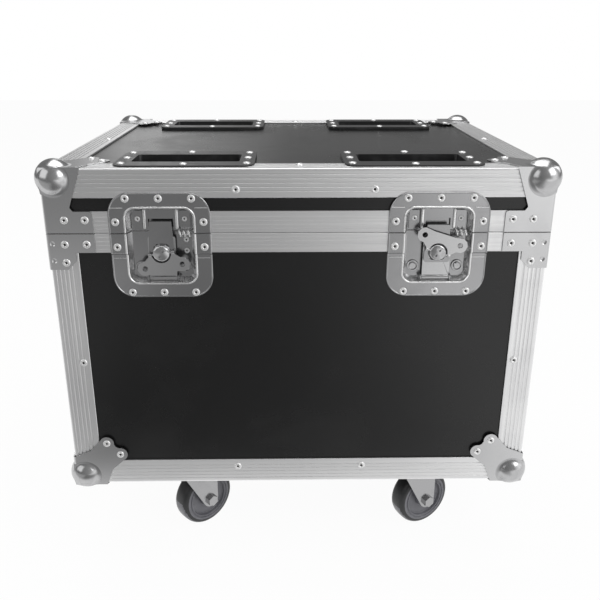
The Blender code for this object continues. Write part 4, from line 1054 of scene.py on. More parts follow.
@dataclass
class Edging:
    """Fluted aluminium: edge angles, corner uprights and the rims that close on each other."""

    shop: Workshop
    leg: float = 0.030
    wall: float = 0.002
    nose: float = 0.0022
    flute_count: int = 5
    flute_first: float = 0.0058
    flute_pitch: float = 0.0043
    flute_width: float = 0.0019
    flute_depth: float = 0.0006
    edge_flute_scale: float = 0.75
    rim_flute_width: float = 0.0007
    rim_flute_depth: float = 0.00012
    upright_lap: float = 0.010
    upright_inset: float = 0.0002
    base_rim_leg: float = 0.0207
    lid_rim_leg: float = 0.023
    rim_seat: float = 0.008
    rim_inner: float = 0.0116
    rim_inner_wall: float = 0.0015
    rim_inner_leg: float = 0.017
    groove: tuple[float, float, float] = (0.004, 0.0095, 0.005)
    tongue: Point4 = (0.005, 0.0085, 0.0038, 0.0003)
    rim_flute_first: float = 0.0045
    rim_flute_count: int = 4
    rim_flute_pitch: float = 0.0041
    latch_spread: float = 0.1437
    recess_half: float = 0.0362
    recess_deep: float = 0.0110
    recess_rise: float = 0.0275
    recess_drop: float = 0.0555

    def build(self) -> None:
        """Make the angles, the uprights and the rims."""
        finishes = self.shop.finishes.aluminium
        sizes = self.shop.sizes
        lengths = (finishes[Grain.ALONG_X], finishes[Grain.ALONG_Y])
        base = Shop.mitred_ring(self.angle(self.edge_flute_scale), sizes.bottom, sizes)
        obj = Shop.piece(base, "base_edging", *lengths, crease=EXTRUSION_CREASE)
        self.shop.place(obj, "base", "edging", "base_edge_frame")
        lid = Shop.mitred_ring([(a, -b) for a, b in self.angle(self.edge_flute_scale)], sizes.top, sizes)
        obj = Shop.piece(lid, "lid_edging", *lengths, crease=EXTRUSION_CREASE)
        self.shop.place(obj, "lid", "edging", "lid_edge_frame")
        self.uprights(finishes[Grain.ALONG_Z])
        self.rim("base_rim", self.base_rim_section(), "base", "base_rim_frame", lengths)
        self.rim("lid_rim", self.lid_rim_section(), "lid", "lid_rim_frame", lengths)

    @staticmethod
    def fluted(start: Point2, along: Point2, inward: Point2, first: float, count: int, pitch: float,
               width: float, depth: float) -> list[Point2]:
        """Points of shallow flutes along a straight face.

        Args:
            start: Where the face begins.
            along: Direction of the face.
            inward: Direction into the metal.
            first: Distance of the first flute.
            count: Number of flutes.
            pitch: Distance between flutes.
            width: Width of a flute.
            depth: Depth of a flute.

        Returns:
            The points in order.
        """
        half, deep_end = width / 2, depth
        shape = ((-half, 0.0), (-half * 0.45, deep_end), (half * 0.45, deep_end), (half, 0.0))
        points = []
        for i in range(count):
            for step, deep in shape:
                run = first + i * pitch + step
                points.append((start[0] + along[0] * run + inward[0] * deep,
                               start[1] + along[1] * run + inward[1] * deep))
        return points

    def angle(self, scale: float, skin: float = 0.0) -> list[Point2]:
        """Section of the edge angle, with its legs along +X and +Y from the outer corner.

        Args:
            scale: Size of its flutes.
            skin: How much thinner the section is on every side.

        Returns:
            The section's loop.
        """
        low, high, leg, lip = skin, self.wall - skin, self.leg, 0.0004
        flutes = (self.flute_first, self.flute_count, self.flute_pitch, scale * self.flute_width,
                  scale * self.flute_depth)
        across = self.fluted((0, low), (1, 0), (0, 1), *flutes)
        upward = self.fluted((low, 0), (0, 1), (1, 0), *flutes)[::-1]
        nose = Shop.arc((low + self.nose, low + self.nose), self.nose, 180, 270, 6)
        end = [(leg - lip, low), (leg, low + lip), (leg, high)]
        return nose + across + end + [(high, high)] + [(y, x) for x, y in reversed(end)] + upward

    def uprights(self, material: Material) -> None:
        """Stand the angle at the base's four corners."""
        sizes = self.shop.sizes
        low = sizes.bottom + self.leg - self.upright_lap
        high = sizes.split - self.base_rim_leg - SEAT
        for corner, (side_x, side_y) in CORNERS.items():
            outline = [(side_x * (sizes.half_width - a), side_y * (sizes.half_depth - b))
                       for a, b in self.angle(1.0, self.upright_inset)]
            shape = Shop.prism(outline, low, high, Matrix())
            obj = Shop.piece(shape, f"base_upright_{corner}", material, crease=EXTRUSION_CREASE)
            self.shop.place(obj, "base", "edging")

    def base_rim_section(self) -> list[Point2]:
        """Section of the grooved rim, downwards from the closing line."""
        inner = self.rim_inner + self.rim_inner_wall
        start, end, deep = self.groove
        top = -SEAT / 2
        flutes = self.fluted((0, top), (0, -1), (1, 0), self.rim_flute_first, self.rim_flute_count,
                             self.rim_flute_pitch, self.rim_flute_width, self.rim_flute_depth)
        return [(0.0005, top), (0, top - 0.0005), *flutes, (0, -self.base_rim_leg), (self.wall, -self.base_rim_leg),
                (self.wall, -self.rim_seat), (self.rim_inner, -self.rim_seat),
                (self.rim_inner, -self.rim_inner_leg), (inner, -self.rim_inner_leg), (inner, top), (end, top),
                (end, -deep), (start, -deep), (start, top)]

    def lid_rim_section(self) -> list[Point2]:
        """Section of the tongued rim, upwards from the closing line."""
        inner = self.rim_inner + self.rim_inner_wall
        start, end, long, taper = self.tongue
        low = SEAT / 2
        flutes = self.fluted((0, low), (0, 1), (1, 0), self.rim_flute_first, self.rim_flute_count,
                             self.rim_flute_pitch, self.rim_flute_width, self.rim_flute_depth)
        return [(0.0005, low), (0, low + 0.0005), *flutes, (0, self.lid_rim_leg), (self.wall, self.lid_rim_leg),
                (self.wall, self.rim_seat), (self.rim_inner, self.rim_seat), (self.rim_inner, self.rim_inner_leg),
                (inner, self.rim_inner_leg), (inner, low), (end, low), (end - taper, -long),
                (start + taper, -long), (start, low)]

    def rim(self, name: str, section: list[Point2], body: str, node: str,
            materials: tuple[Material, Material]) -> None:
        """Make a rim and cut it away behind the latches.

        Args:
            name: Name of the piece.
            section: Its section.
            body: The body that it rides on.
            node: The CAD node that it replaces.
            materials: Finishes of its lengths along X and along Y.
        """
        sizes = self.shop.sizes
        obj = Shop.piece(Shop.mitred_ring(section, sizes.split, sizes), name, *materials, crease=EXTRUSION_CREASE)
        for side in SIDES.values():
            frame = sizes.face_frame(Face.FRONT, side * self.latch_spread, sizes.split)
            outline = Shop.rounded(-self.recess_half, -self.recess_drop, self.recess_half, self.recess_rise, [0] * 4)
            Shop.combine(obj, Shop.prism(outline, -self.recess_deep, self.wall, frame), "DIFFERENCE")
        self.shop.place(obj, body, "edging", node)


@dataclass
class Corners:
    """Pressed steel ball corners, and the braces under the closing line."""

    shop: Workshop
    ball_radius: float = 0.0195
    ball_proud: float = 0.0085
    ball_skin: float = 0.00012
    ball_lap: float = 0.0002
    edge_round: float = 0.0009
    fold_round: float = 0.003
    fold_clear: float = 0.0015
    fold_steps: int = 6
    ball_steps: int = 56
    flare_radius: float = 0.008
    flare_inner: float = 0.009
    flare_sink: float = 0.0006
    flare_steps: int = 8
    ear_centre: Point2 = (0.0535, 0.039)
    ear_radius: float = 0.0081
    ear_steps: int = 48
    dent_radius: float = 0.0044
    dent_lift: float = 0.0034
    dent_inset: float = 0.0052
    dent_drops: Point2 = (0.0108, 0.029)

    def build(self) -> None:
        """Make the eight ball corners and the four braces."""
        for corner in CORNERS:
            self.ball_corner(f"base_ball_corner_{corner}", corner, -1)
            self.ball_corner(f"lid_ball_corner_{corner}", corner, 1)
            self.brace(f"base_corner_brace_{corner}", corner)

    def brace(self, node: str, corner: str) -> None:
        """Fold a brace and press its dents.

        Args:
            node: The CAD node that it stands for.
            corner: The corner's name.
        """
        sizes = self.shop.sizes
        obj = self.folded(node, corner, f"{node}_dressed")
        side_x, side_y = CORNERS[corner]
        out = SHEET_OUTER + self.dent_lift
        for drop in self.dent_drops:
            for in_x, in_y in ((self.dent_inset, -out), (-out, self.dent_inset)):
                place = Vector((side_x * (sizes.half_width - in_x), side_y * (sizes.half_depth - in_y),
                                sizes.split - drop))
                ball = bmesh.new()
                bmesh.ops.create_uvsphere(ball, u_segments=20, v_segments=12, radius=self.dent_radius,
                                          matrix=Matrix.Translation(place))
                Shop.combine(obj, ball, "DIFFERENCE")
        self.shop.place(obj, "base", "hardware", node)

    def folded(self, node: str, corner: str, name: str) -> Piece:
        """Copy of a corner piece with a round fold between its two side plates.

        Args:
            node: The CAD node's name.
            corner: The corner's name.
            name: Name of the new object.

        Returns:
            The copy, as an object.
        """
        sizes = self.shop.sizes
        finishes = self.shop.finishes
        side_x, side_y = CORNERS[corner]
        radius, clear = self.fold_round, self.fold_clear
        waste = [(clear, -radius), (clear, clear), (-radius, clear)]
        waste += Shop.arc((-radius, -radius), radius, 90, 0, self.fold_steps)
        fold = Vector((side_x * (sizes.half_width + SHEET_OUTER), side_y * (sizes.half_depth + SHEET_OUTER), 0))
        frame = Matrix.Translation(fold) @ Matrix.Diagonal((side_x, side_y, 1, 1))
        obj = Shop.piece(Shop.copy_of(self.shop.frame["nodes"][node]), name, finishes.zinc, finishes.polished)
        cutter = Shop.prism(waste, sizes.bottom - radius, sizes.top + radius, frame)
        return Shop.combine(obj, cutter, "DIFFERENCE")

    def centre(self, corner: str, upward: int) -> Vector:
        """Centre of a corner's ball."""
        sizes = self.shop.sizes
        inset = self.ball_radius - self.ball_proud
        level = sizes.top - inset if upward > 0 else sizes.bottom + inset
        side_x, side_y = CORNERS[corner]
        return Vector((side_x * (sizes.half_width - inset), side_y * (sizes.half_depth - inset), level))

    def ears(self, corner: str, upward: int) -> Shape:
        """Round ends of a corner's ears: on all three plates of a base corner, on a lid corner's top plate.

        Args:
            corner: The corner's name.
            upward: 1 on the lid's top and -1 under the base.

        Returns:
            The discs.
        """
        sizes = self.shop.sizes
        side_x, side_y = CORNERS[corner]
        outwards = (Vector((side_x, 0, 0)), Vector((0, side_y, 0)), Vector((0, 0, upward)))
        tip = Vector((side_x * sizes.half_width, side_y * sizes.half_depth, sizes.top if upward > 0 else sizes.bottom))
        outline = Shop.arc((0.0, 0.0), self.ear_radius, 0, 360, self.ear_steps)[:-1]
        discs = bmesh.new()
        for number, outward in enumerate(outwards):
            if upward > 0 and number < 2:
                continue
            first, second = (other for other in outwards if other != outward)
            for reach, inset in (self.ear_centre, self.ear_centre[::-1]):
                frame = aimed(tip - first * reach - second * inset, outward)
                Shop.absorb(discs, Shop.prism(outline, SEAT, SHEET_OUTER, frame), 0)
        return discs

    def flare_profile(self, level: float) -> list[Point2]:
        """Section of the sweep from the ball to a plate.

        Args:
            level: Distance of the plate's face from the ball's centre.

        Returns:
            Closed loop of (radius, height) points about the plate's normal through the centre.
        """
        ball, sweep = self.ball_radius + self.ball_skin, self.flare_radius
        reach = math.sqrt((ball + sweep) ** 2 - (level + sweep) ** 2)
        meeting = math.degrees(math.atan2(level + sweep, reach)) + 180
        curve = Shop.arc((reach, level + sweep), sweep, meeting, 270, self.flare_steps)
        low = level - self.flare_sink
        return curve + [(reach, low), (self.flare_inner, low), (self.flare_inner, curve[0][1])]

    def flares(self, corner: str, upward: int) -> list[Shape]:
        """Sweeps from a ball to its three plates, cut off at the plates' edges.

        Args:
            corner: The corner's name.
            upward: 1 on the lid's top and -1 under the base.

        Returns:
            The three shapes.
        """
        centre = self.centre(corner, upward)
        level = self.ball_radius - self.ball_proud + SHEET_OUTER
        side_x, side_y = CORNERS[corner]
        outwards = (Vector((side_x, 0, 0)), Vector((0, side_y, 0)), Vector((0, 0, upward)))
        shapes = []
        for outward in outwards:
            shape = Shop.lathe(self.flare_profile(level), self.ball_steps, aimed(centre, outward), closed=True)
            for other in outwards:
                if other != outward:
                    everything = [*shape.verts, *shape.edges, *shape.faces]
                    bmesh.ops.bisect_plane(shape, geom=everything, plane_co=centre + other * level,
                                           plane_no=other, clear_outer=True)
                    rim = [edge for edge in shape.edges if edge.is_boundary]
                    bmesh.ops.holes_fill(shape, edges=rim)
            shapes.append(Shop.cleaned(shape))
        return shapes

    def ball_corner(self, node: str, corner: str, upward: int) -> None:
        """Round a corner's plates and give it a smooth ball that sweeps into them.

        Args:
            node: The CAD node that it stands for.
            corner: The corner's name.
            upward: 1 on the lid's top and -1 under the base.
        """
        sizes = self.shop.sizes
        finishes = self.shop.finishes
        centre = self.centre(corner, upward)
        clear = self.ball_radius + 4 * self.edge_round

        def away_from_ball(middle: Vector) -> bool:
            return (middle - centre).length > clear

        obj = self.folded(node, corner, f"{node}_plates")
        ball = bmesh.new()
        bmesh.ops.create_uvsphere(ball, u_segments=self.ball_steps, v_segments=self.ball_steps // 2,
                                  radius=self.ball_radius + self.ball_skin, matrix=Matrix.Translation(centre))
        # The ball and, below, its flares take slot 1, the darkened zinc: painted darker reflections than on the
        # plates.
        for polygon in ball.faces:
            polygon.material_index = 1
        cap = Shop.piece(ball, f"{node}_ball", finishes.zinc, finishes.polished)
        side_x, side_y = CORNERS[corner]
        inside = SEAT + self.ball_lap
        outer = Vector((side_x * (sizes.half_width + inside), side_y * (sizes.half_depth + inside),
                        (sizes.top if upward > 0 else sizes.bottom) + upward * inside))
        inner = centre - Vector((side_x, side_y, upward)) * 2 * self.ball_radius
        low = [min(a, b) for a, b in zip(outer, inner)]
        high = [max(a, b) for a, b in zip(outer, inner)]
        outline = Shop.rounded(low[0], low[1], high[0], high[1], [0] * 4)
        Shop.combine(cap, Shop.prism(outline, low[2], high[2], Matrix()), "DIFFERENCE")
        Shop.combine(obj, self.ears(corner, upward), "UNION")
        Shop.combine(obj, Shop.taken(cap), "UNION")
        shape = Shop.soften(Shop.round_facets(Shop.taken(obj), away_from_ball), self.edge_round, 2, away_from_ball)
        for flare in self.flares(corner, upward):
            Shop.absorb(shape, flare, 1)
        body = "lid" if upward > 0 else "base"
        self.shop.place(Shop.piece(shape, f"{node}_dressed", finishes.zinc, finishes.polished), body, "hardware", node)


@dataclass
class StackingCups:
    """Black cups in the lid that take the wheels of a case on top."""

    shop: Workshop
    edge_round: float = 0.0004

    def build(self) -> None:
        """Dress the four cups."""
        for corner in CORNERS:
            self.shop.dress(f"stacking_cup_{corner}", "cup", self.shop.finishes.cup_paint, self.edge_round)


@dataclass
class Latches:
    """Twist latches: two dishes, arm, hook, spindle and wing on each side, with their small fittings."""

    shop: Workshop
    spread: float = 0.1437
    edge_round: float = 0.0007
    moving_round: float = 0.0004
    barrel_clear: float = 0.0024
    pan: Point4 = (0.0347, 0.026, 0.054, 0.010)
    flange: Point4 = (0.0519, 0.042, 0.070, 0.022)
    pan_floor: float = -0.0093
    bead_radius: float = 0.0012
    bead_inset: float = -0.0010
    hem_radius: float = 0.0010
    hem_inset: float = 0.0005
    skirt_run: float = 0.0038
    skin: float = 0.0002
    step_high: float = -0.0213
    step_run: float = 0.0018
    sunk: float = -0.0020
    fold_rise: float = 0.0268
    fold_span: Point2 = (0.0365, 0.0500)
    fold_radius: float = 0.0006
    tab: Point4 = (0.0188, 0.0020, 0.0302, 0.0220)
    tab_wall: float = 0.0010
    rail: Point4 = (0.0152, 0.0030, 0.0181, 0.0236)
    rail_levels: Point2 = (-0.0062, -0.0046)
    spring_span: Point2 = (0.0186, 0.0302)
    spring_centre: Point2 = (-0.0012, -0.0036)
    spring_radius: float = 0.0029
    spring_wire: float = 0.0012
    spring_turns: float = 2.5
    bolt_place: Point2 = (0.0236, -0.0385)
    bolt_profile: tuple[Point2, ...] = ((0.0, 0.0030), (0.0031, 0.0030), (0.0038, 0.0023), (0.0040, 0.0004),
                                        (0.0046, 0.0004), (0.0049, 0.0018), (0.0058, 0.0018), (0.0062, 0.0011),
                                        (0.0063, 0.0), (0.0, 0.0))
    hook_half: float = 0.0137
    hook_tip_half: float = 0.0115
    hook_wide_level: float = -0.024
    hook_tip_level: float = 0.012
    slot_half: float = 0.0147
    slot_shown: float = 0.0129
    slot_levels: Point2 = (0.0040, 0.0150)
    eye_radius: float = 0.0013
    eye_offset: Point2 = (0.0018, 0.0027)
    eye_levels: Point2 = (0.0030, 0.0070)

    def build(self) -> None:
        """Dress the pieces of both latches and add their small fittings."""
        # The dishes and hook take the darker zinc as painted shade of the recessed latch; the arm and wing keep the
        # plain zinc.
        dark, light = self.shop.finishes.latch_zinc, self.shop.finishes.zinc
        for side, sign in SIDES.items():
            middle = sign * self.spread
            wide, fine = self.edge_round, self.moving_round
            for part, finish, width, reshape in (("lid_dish", dark, wide, self.slot_narrowing(middle)),
                                                 ("base_dish", dark, wide, None), ("arm", light, fine, None),
                                                 ("hook", dark, fine, self.hook_taper(middle))):
                self.shop.dress(f"latch_{side}_{part}", "hardware", finish, width, 3, reshape)
            self.wing(side)
            self.spindle(side)
            sizes = self.shop.sizes
            frame = sizes.face_frame(Face.FRONT, middle, sizes.split)
            for body, upper in (("lid", True), ("base", False)):
                self.edging(f"latch_{side}_{body}", upper, frame, body)
                self.skirt(f"latch_{side}_{body}_skirt", upper, frame, body)
            for hand, turn in SIDES.items():
                self.fittings(f"latch_{side}", hand, turn, frame)
            self.spring(f"latch_{side}_spring", frame)

    def wing(self, side: str) -> None:
        """Round a wing's edges, except round its barrels.

        Args:
            side: Name of the latch's side.
        """
        place, axis = self.shop.joint(f"latch_{side}_wing_fold")

        def away_from_barrels(middle: Vector) -> bool:
            return (middle - place).cross(axis).length > self.barrel_clear

        self.shop.dress(f"latch_{side}_wing", "hardware", self.shop.finishes.zinc, self.moving_round, 3,
                        chosen=away_from_barrels)

    def hook_taper(self, middle: float) -> Move:
        """Narrowing of the hook towards its tip.

        Args:
            middle: The latch's distance from the middle of the front.

        Returns:
            Where each point of the hook goes.
        """
        split = self.shop.sizes.split
        narrow = 1 - self.hook_tip_half / self.hook_half

        def moved(point: Vector) -> Vector:
            share = (point.z - split - self.hook_wide_level) / (self.hook_tip_level - self.hook_wide_level)
            share = min(max(share, 0.0), 1.0)
            return Vector((middle + (point.x - middle) * (1 - narrow * share), point.y, point.z))

        return moved

    def slot_narrowing(self, middle: float) -> Move:
        """Narrowing of the catch's slot to the hook's tip.

        Args:
            middle: The latch's distance from the middle of the front.

        Returns:
            Where each point of the dish goes.
        """
        split = self.shop.sizes.split
        low, high = self.slot_levels

        def moved(point: Vector) -> Vector:
            off = point.x - middle
            in_slot = low < point.z - split < high and abs(abs(off) - self.slot_half) < self.skin
            return Vector((middle + math.copysign(self.slot_shown, off), point.y, point.z)) if in_slot else point

        return moved

    def spindle(self, side: str) -> None:
        """Spindle with two spanner holes in its boss.

        Args:
            side: Name of the latch's side.
        """
        node = f"latch_{side}_spindle"
        obj = Shop.piece(Shop.copy_of(self.shop.frame["nodes"][node]), f"{node}_drilled")
        place, _ = self.shop.joint(f"latch_{side}_turn")
        frame = self.shop.sizes.face_frame(Face.FRONT, place.x, place.z)
        low, high = self.eye_levels
        for sign in SIDES.values():
            spot = Matrix.Translation((sign * self.eye_offset[0], sign * self.eye_offset[1], 0))
            hole = [(0.0, low), (self.eye_radius, low), (self.eye_radius, high), (0.0, high)]
            Shop.combine(obj, Shop.lathe(hole, 16, frame @ spot), "DIFFERENCE")
        shape = Shop.soften(Shop.round_facets(Shop.taken(obj)), self.moving_round, 3)
        # The spindle takes the darkened zinc: painted darker reflections on its boss.
        obj = Shop.piece(shape, f"{node}_dressed", self.shop.finishes.polished)
        self.shop.place(obj, node, "hardware", node)

    def route(self, outline: Point4, inset: float, upper: bool) -> list[Point2]:
        """Way round an outline, above or below the closing line.

        Args:
            outline: Its half width, height above the line, depth below it and corner radius.
            inset: Distance inside the outline.
            upper: Whether the lid's half is wanted.

        Returns:
            The points in the latch's frame.
        """
        half, rise, drop, radius = (size - inset for size in outline)
        if upper:
            high = rise - radius
            return [(half, 2 * SEAT), *Shop.arc((half - radius, high), radius, 0, 90, 8),
                    *Shop.arc((radius - half, high), radius, 90, 180, 8), (-half, 2 * SEAT)]
        low = radius - drop
        step = self.step_high - self.step_run
        return [(-half, -2 * SEAT), (-half, self.step_high), (-half, step),
                *Shop.arc((radius - half, low), radius, 180, 270, 8),
                *Shop.arc((half - radius, low), radius, 270, 360, 8),
                (half, step), (half, self.step_high), (half, -2 * SEAT)]

    def level(self, height: float) -> float:
        """Level of the dish's flange at a height in the latch's frame."""
        return SHEET_OUTER if height >= self.step_high else self.sunk + SHEET

    def edging(self, name: str, upper: bool, frame: Matrix, body: str) -> None:
        """Raised lip round half of the pan's opening, and the flange's rolled hem.

        Args:
            name: Start of the pieces' names.
            upper: Whether they are the lid's half.
            frame: The latch's frame.
            body: The body that they ride on.
        """
        finishes = self.shop.finishes
        # The lip takes the light zinc as a painted highlight, the hem the darker zinc as painted shade.
        lips = (("bead", self.pan, self.bead_inset, self.bead_radius, self.skin, finishes.bright),
                ("hem", self.flange, self.hem_inset, self.hem_radius, SHEET / 2, finishes.latch_zinc))
        for part, outline, inset, radius, sunk, finish in lips:
            points = [frame @ Vector((x, y, self.level(y) - sunk)) for x, y in self.route(outline, inset, upper)]
            shape = Shop.tube(points, radius, f"{name}_{part}")
            self.shop.place(Shop.piece(shape, f"{name}_{part}", finish), body, "hardware")

    def skirt(self, name: str, upper: bool, frame: Matrix, body: str) -> None:
        """Sloping wall round half of the pan.

        Args:
            name: Name of the piece.
            upper: Whether it is the lid's half.
            frame: The latch's frame.
            body: The body that it rides on.
        """
        bm = bmesh.new()
        rings = []
        for (x, y), (toe_x, toe_y) in zip(self.route(self.pan, self.skin, upper),
                                           self.route(self.pan, self.skirt_run, upper)):
            points = ((x, y, self.level(y) - SHEET), (toe_x, toe_y, self.pan_floor), (x, y, self.pan_floor))
            rings.append([bm.verts.new(frame @ Vector(point)) for point in points])
        for here, there in zip(rings, rings[1:]):
            for i in range(3):
                j = (i + 1) % 3
                bm.faces.new((here[i], there[i], there[j], here[j]))
        bm.faces.new(rings[0])
        bm.faces.new(rings[-1][::-1])
        bmesh.ops.recalc_face_normals(bm, faces=bm.faces)
        # The wall takes the light zinc: painted light over the shade that falls round the pan.
        self.shop.place(Shop.piece(bm, name, self.shop.finishes.bright), body, "hardware")

    def fittings(self, name: str, hand: str, turn: int, frame: Matrix) -> None:
        """Folds, tab, rail and bolt on one hand of a latch.

        Args:
            name: The latch's name.
            hand: Name of the hand.
            turn: -1 for the left hand and 1 for the right.
            frame: The latch's frame.
        """
        finishes = self.shop.finishes
        # Folds and rails take the light zinc as painted highlight, the tab the darker zinc as painted shade, and the
        # bolt the darkened zinc as painted darker reflections.
        for body, rise in (("lid", self.fold_rise), ("base", -self.fold_rise)):
            ends = [frame @ Vector((turn * x, rise, self.level(rise))) for x in self.fold_span]
            fold = Shop.tube(ends, self.fold_radius, f"{name}_{body}_fold_{hand}")
            self.shop.place(Shop.piece(fold, f"{name}_{body}_fold_{hand}", finishes.bright), body, "hardware")
        plates = (("tab", self.tab, (self.pan_floor, self.pan_floor + self.tab_wall), finishes.latch_zinc),
                  ("rail", self.rail, self.rail_levels, finishes.bright))
        for part, (near, low, far, high), levels, finish in plates:
            left, right = sorted((turn * near, turn * far))
            outline = Shop.rounded(left, low, right, high, [0.001] * 4, 4)
            shape = Shop.soften(Shop.prism(outline, *levels, frame), self.edge_round)
            self.shop.place(Shop.piece(shape, f"{name}_{part}_{hand}", finish), "lid", "hardware")
        spot = frame @ Matrix.Translation((turn * self.bolt_place[0], self.bolt_place[1], self.pan_floor))
        bolt = Shop.piece(Shop.lathe(self.bolt_profile, 28, spot), f"{name}_bolt_{hand}", finishes.polished)
        self.shop.place(bolt, "base", "hardware")

    def spring(self, name: str, frame: Matrix) -> None:
        """Small coil spring beside the hook.

        Args:
            name: Name of the piece.
            frame: The latch's frame.
        """
        steps = int(self.spring_turns * 14)
        start, end = self.spring_span
        points = []
        for i in range(steps + 1):
            turn = 2 * math.pi * self.spring_turns * i / steps
            points.append(frame @ Vector((start + (end - start) * i / steps,
                                          self.spring_centre[0] + self.spring_radius * math.cos(turn),
                                          self.spring_centre[1] + self.spring_radius * math.sin(turn))))
        shape = Shop.tube(points, self.spring_wire, name, resolution=2)
        # The coil takes the light zinc as a painted highlight on its wire.
        self.shop.place(Shop.piece(shape, name, self.shop.finishes.bright), "base", "hardware")


@dataclass
class Hinges:
    """Rear hinges of the lid."""

    shop: Workshop
    edge_round: float = 0.0003

    def build(self) -> None:
        """Dress both leaves of both hinges."""
        for side in SIDES:
            for leaf in ("base_leaf", "lid_leaf"):
                self.shop.dress(f"hinge_{side}_{leaf}", "hardware", self.shop.finishes.zinc, self.edge_round)


@dataclass
class Handles:
    """Recessed side handles with a sprung bail and a soft grip."""

    shop: Workshop
    edge_round: float = 0.0004
    grip_radius: float = 0.0068
    grip_half: float = 0.0355
    grip_rib: float = 0.0004
    grip_ribs: int = 9
    bail_drop: float = 0.044
    bail_radius: float = 0.0038

    def build(self) -> None:
        """Dress the dishes and bails, and cover the bails with grips."""
        for side in SIDES:
            self.shop.dress(f"handle_{side}_dish", "hardware", self.shop.finishes.zinc, self.edge_round)
            self.shop.dress(f"handle_{side}_bail", "hardware", self.shop.finishes.zinc, self.edge_round)
            self.grip(side)

    def grip(self, side: str) -> None:
        """Ribbed sleeve on a bail's lower bar.

        Args:
            side: Name of the handle's side.
        """
        pivot, axis = self.shop.joint(f"handle_{side}_lift")
        centre = pivot - Vector((0, 0, self.bail_drop))
        frame = aimed(centre, axis)
        half, wide = self.grip_half, self.grip_radius
        profile = [(self.bail_radius, half), (wide - 0.0012, half), (wide, half - 0.0012)]
        pitch = 2 * (half - 0.004) / self.grip_ribs
        for i in range(self.grip_ribs):
            top = half - 0.004 - i * pitch
            profile += [(wide, top), (wide - self.grip_rib, top - 0.0006), (wide - self.grip_rib, top - 0.0016),
                        (wide, top - 0.0022)]
        profile += [(wide, 0.0012 - half), (wide - 0.0012, -half), (self.bail_radius, -half)]
        shape = Shop.lathe(profile, 32, frame, closed=True)
        obj = Shop.piece(shape, f"handle_{side}_grip", self.shop.finishes.grip)
        self.shop.place(obj, f"handle_{side}_bail", "wheel")


@dataclass
class Castors:
    """Swivel castors: plate with its race, fork and wheel."""

    shop: Workshop
    edge_round: float = 0.0005
    wheel_radius: float = 0.03725
    half_width: float = 0.012
    shoulder: float = 0.006
    rim_radius: float = 0.0245
    web_half: float = 0.0085
    hub_radius: float = 0.011
    hub_half: float = 0.0145
    bore: float = 0.0044
    groove: float = 0.0009
    tread_share: float = 0.6
    steps: int = 72

    def build(self) -> None:
        """Dress the plates and forks, and turn the wheels."""
        for corner in CORNERS:
            self.shop.dress(f"castor_{corner}_plate", "hardware", self.shop.finishes.zinc, self.edge_round)
            # The fork takes the darker zinc as painted shade.
            self.shop.dress(f"castor_{corner}_fork", "hardware", self.shop.finishes.latch_zinc, self.edge_round)
            self.wheel(corner)

    def wheel_profile(self) -> list[Point2]:
        """Half section of the wheel, from one end of its bore to the other."""
        tread, side = self.wheel_radius - 0.0003, self.half_width
        shoulder = Shop.arc((tread - self.shoulder, side - self.shoulder), self.shoulder, 90, 12, 6)
        half = [(self.bore, self.hub_half), (self.hub_radius - 0.0008, self.hub_half),
                (self.hub_radius, self.hub_half - 0.0008), (self.hub_radius + 0.0006, self.web_half),
                (self.rim_radius - 0.0016, self.web_half), (self.rim_radius - 0.0006, self.web_half + 0.0006),
                (self.rim_radius, side - 0.0006), (self.rim_radius + 0.0006, side),
                (self.rim_radius + 0.0018, side), (self.rim_radius + 0.0022, side - self.groove),
                (self.rim_radius + 0.0032, side - self.groove), (self.rim_radius + 0.0036, side)]
        half += shoulder + [(self.wheel_radius - 0.0001, 0.003)]
        return half + [(r, -z) for r, z in reversed(half)]

    def wheel(self, corner: str) -> None:
        """Turn one wheel.

        Args:
            corner: The castor's corner.
        """
        centre, axis = self.shop.joint(f"castor_{corner}_roll")
        frame = aimed(centre, axis)
        shape = Shop.lathe(self.wheel_profile(), self.steps, frame, closed=True)
        node = f"castor_{corner}_wheel"
        # Tread faces take slot 1, the dark tread: its darker rubber, with painted shade on it as well.
        for polygon in shape.faces:
            middle = polygon.calc_center_median() - centre
            beside = middle.dot(axis)
            tread_face = abs(polygon.normal.dot(axis)) < self.tread_share
            polygon.material_index = int(tread_face and (middle - axis * beside).length > self.wheel_radius - self.shoulder)
        obj = Shop.piece(shape, f"{node}_dressed", self.shop.finishes.tyre, self.shop.finishes.tread)
        self.shop.place(obj, node, "wheel", node)


# Rivets


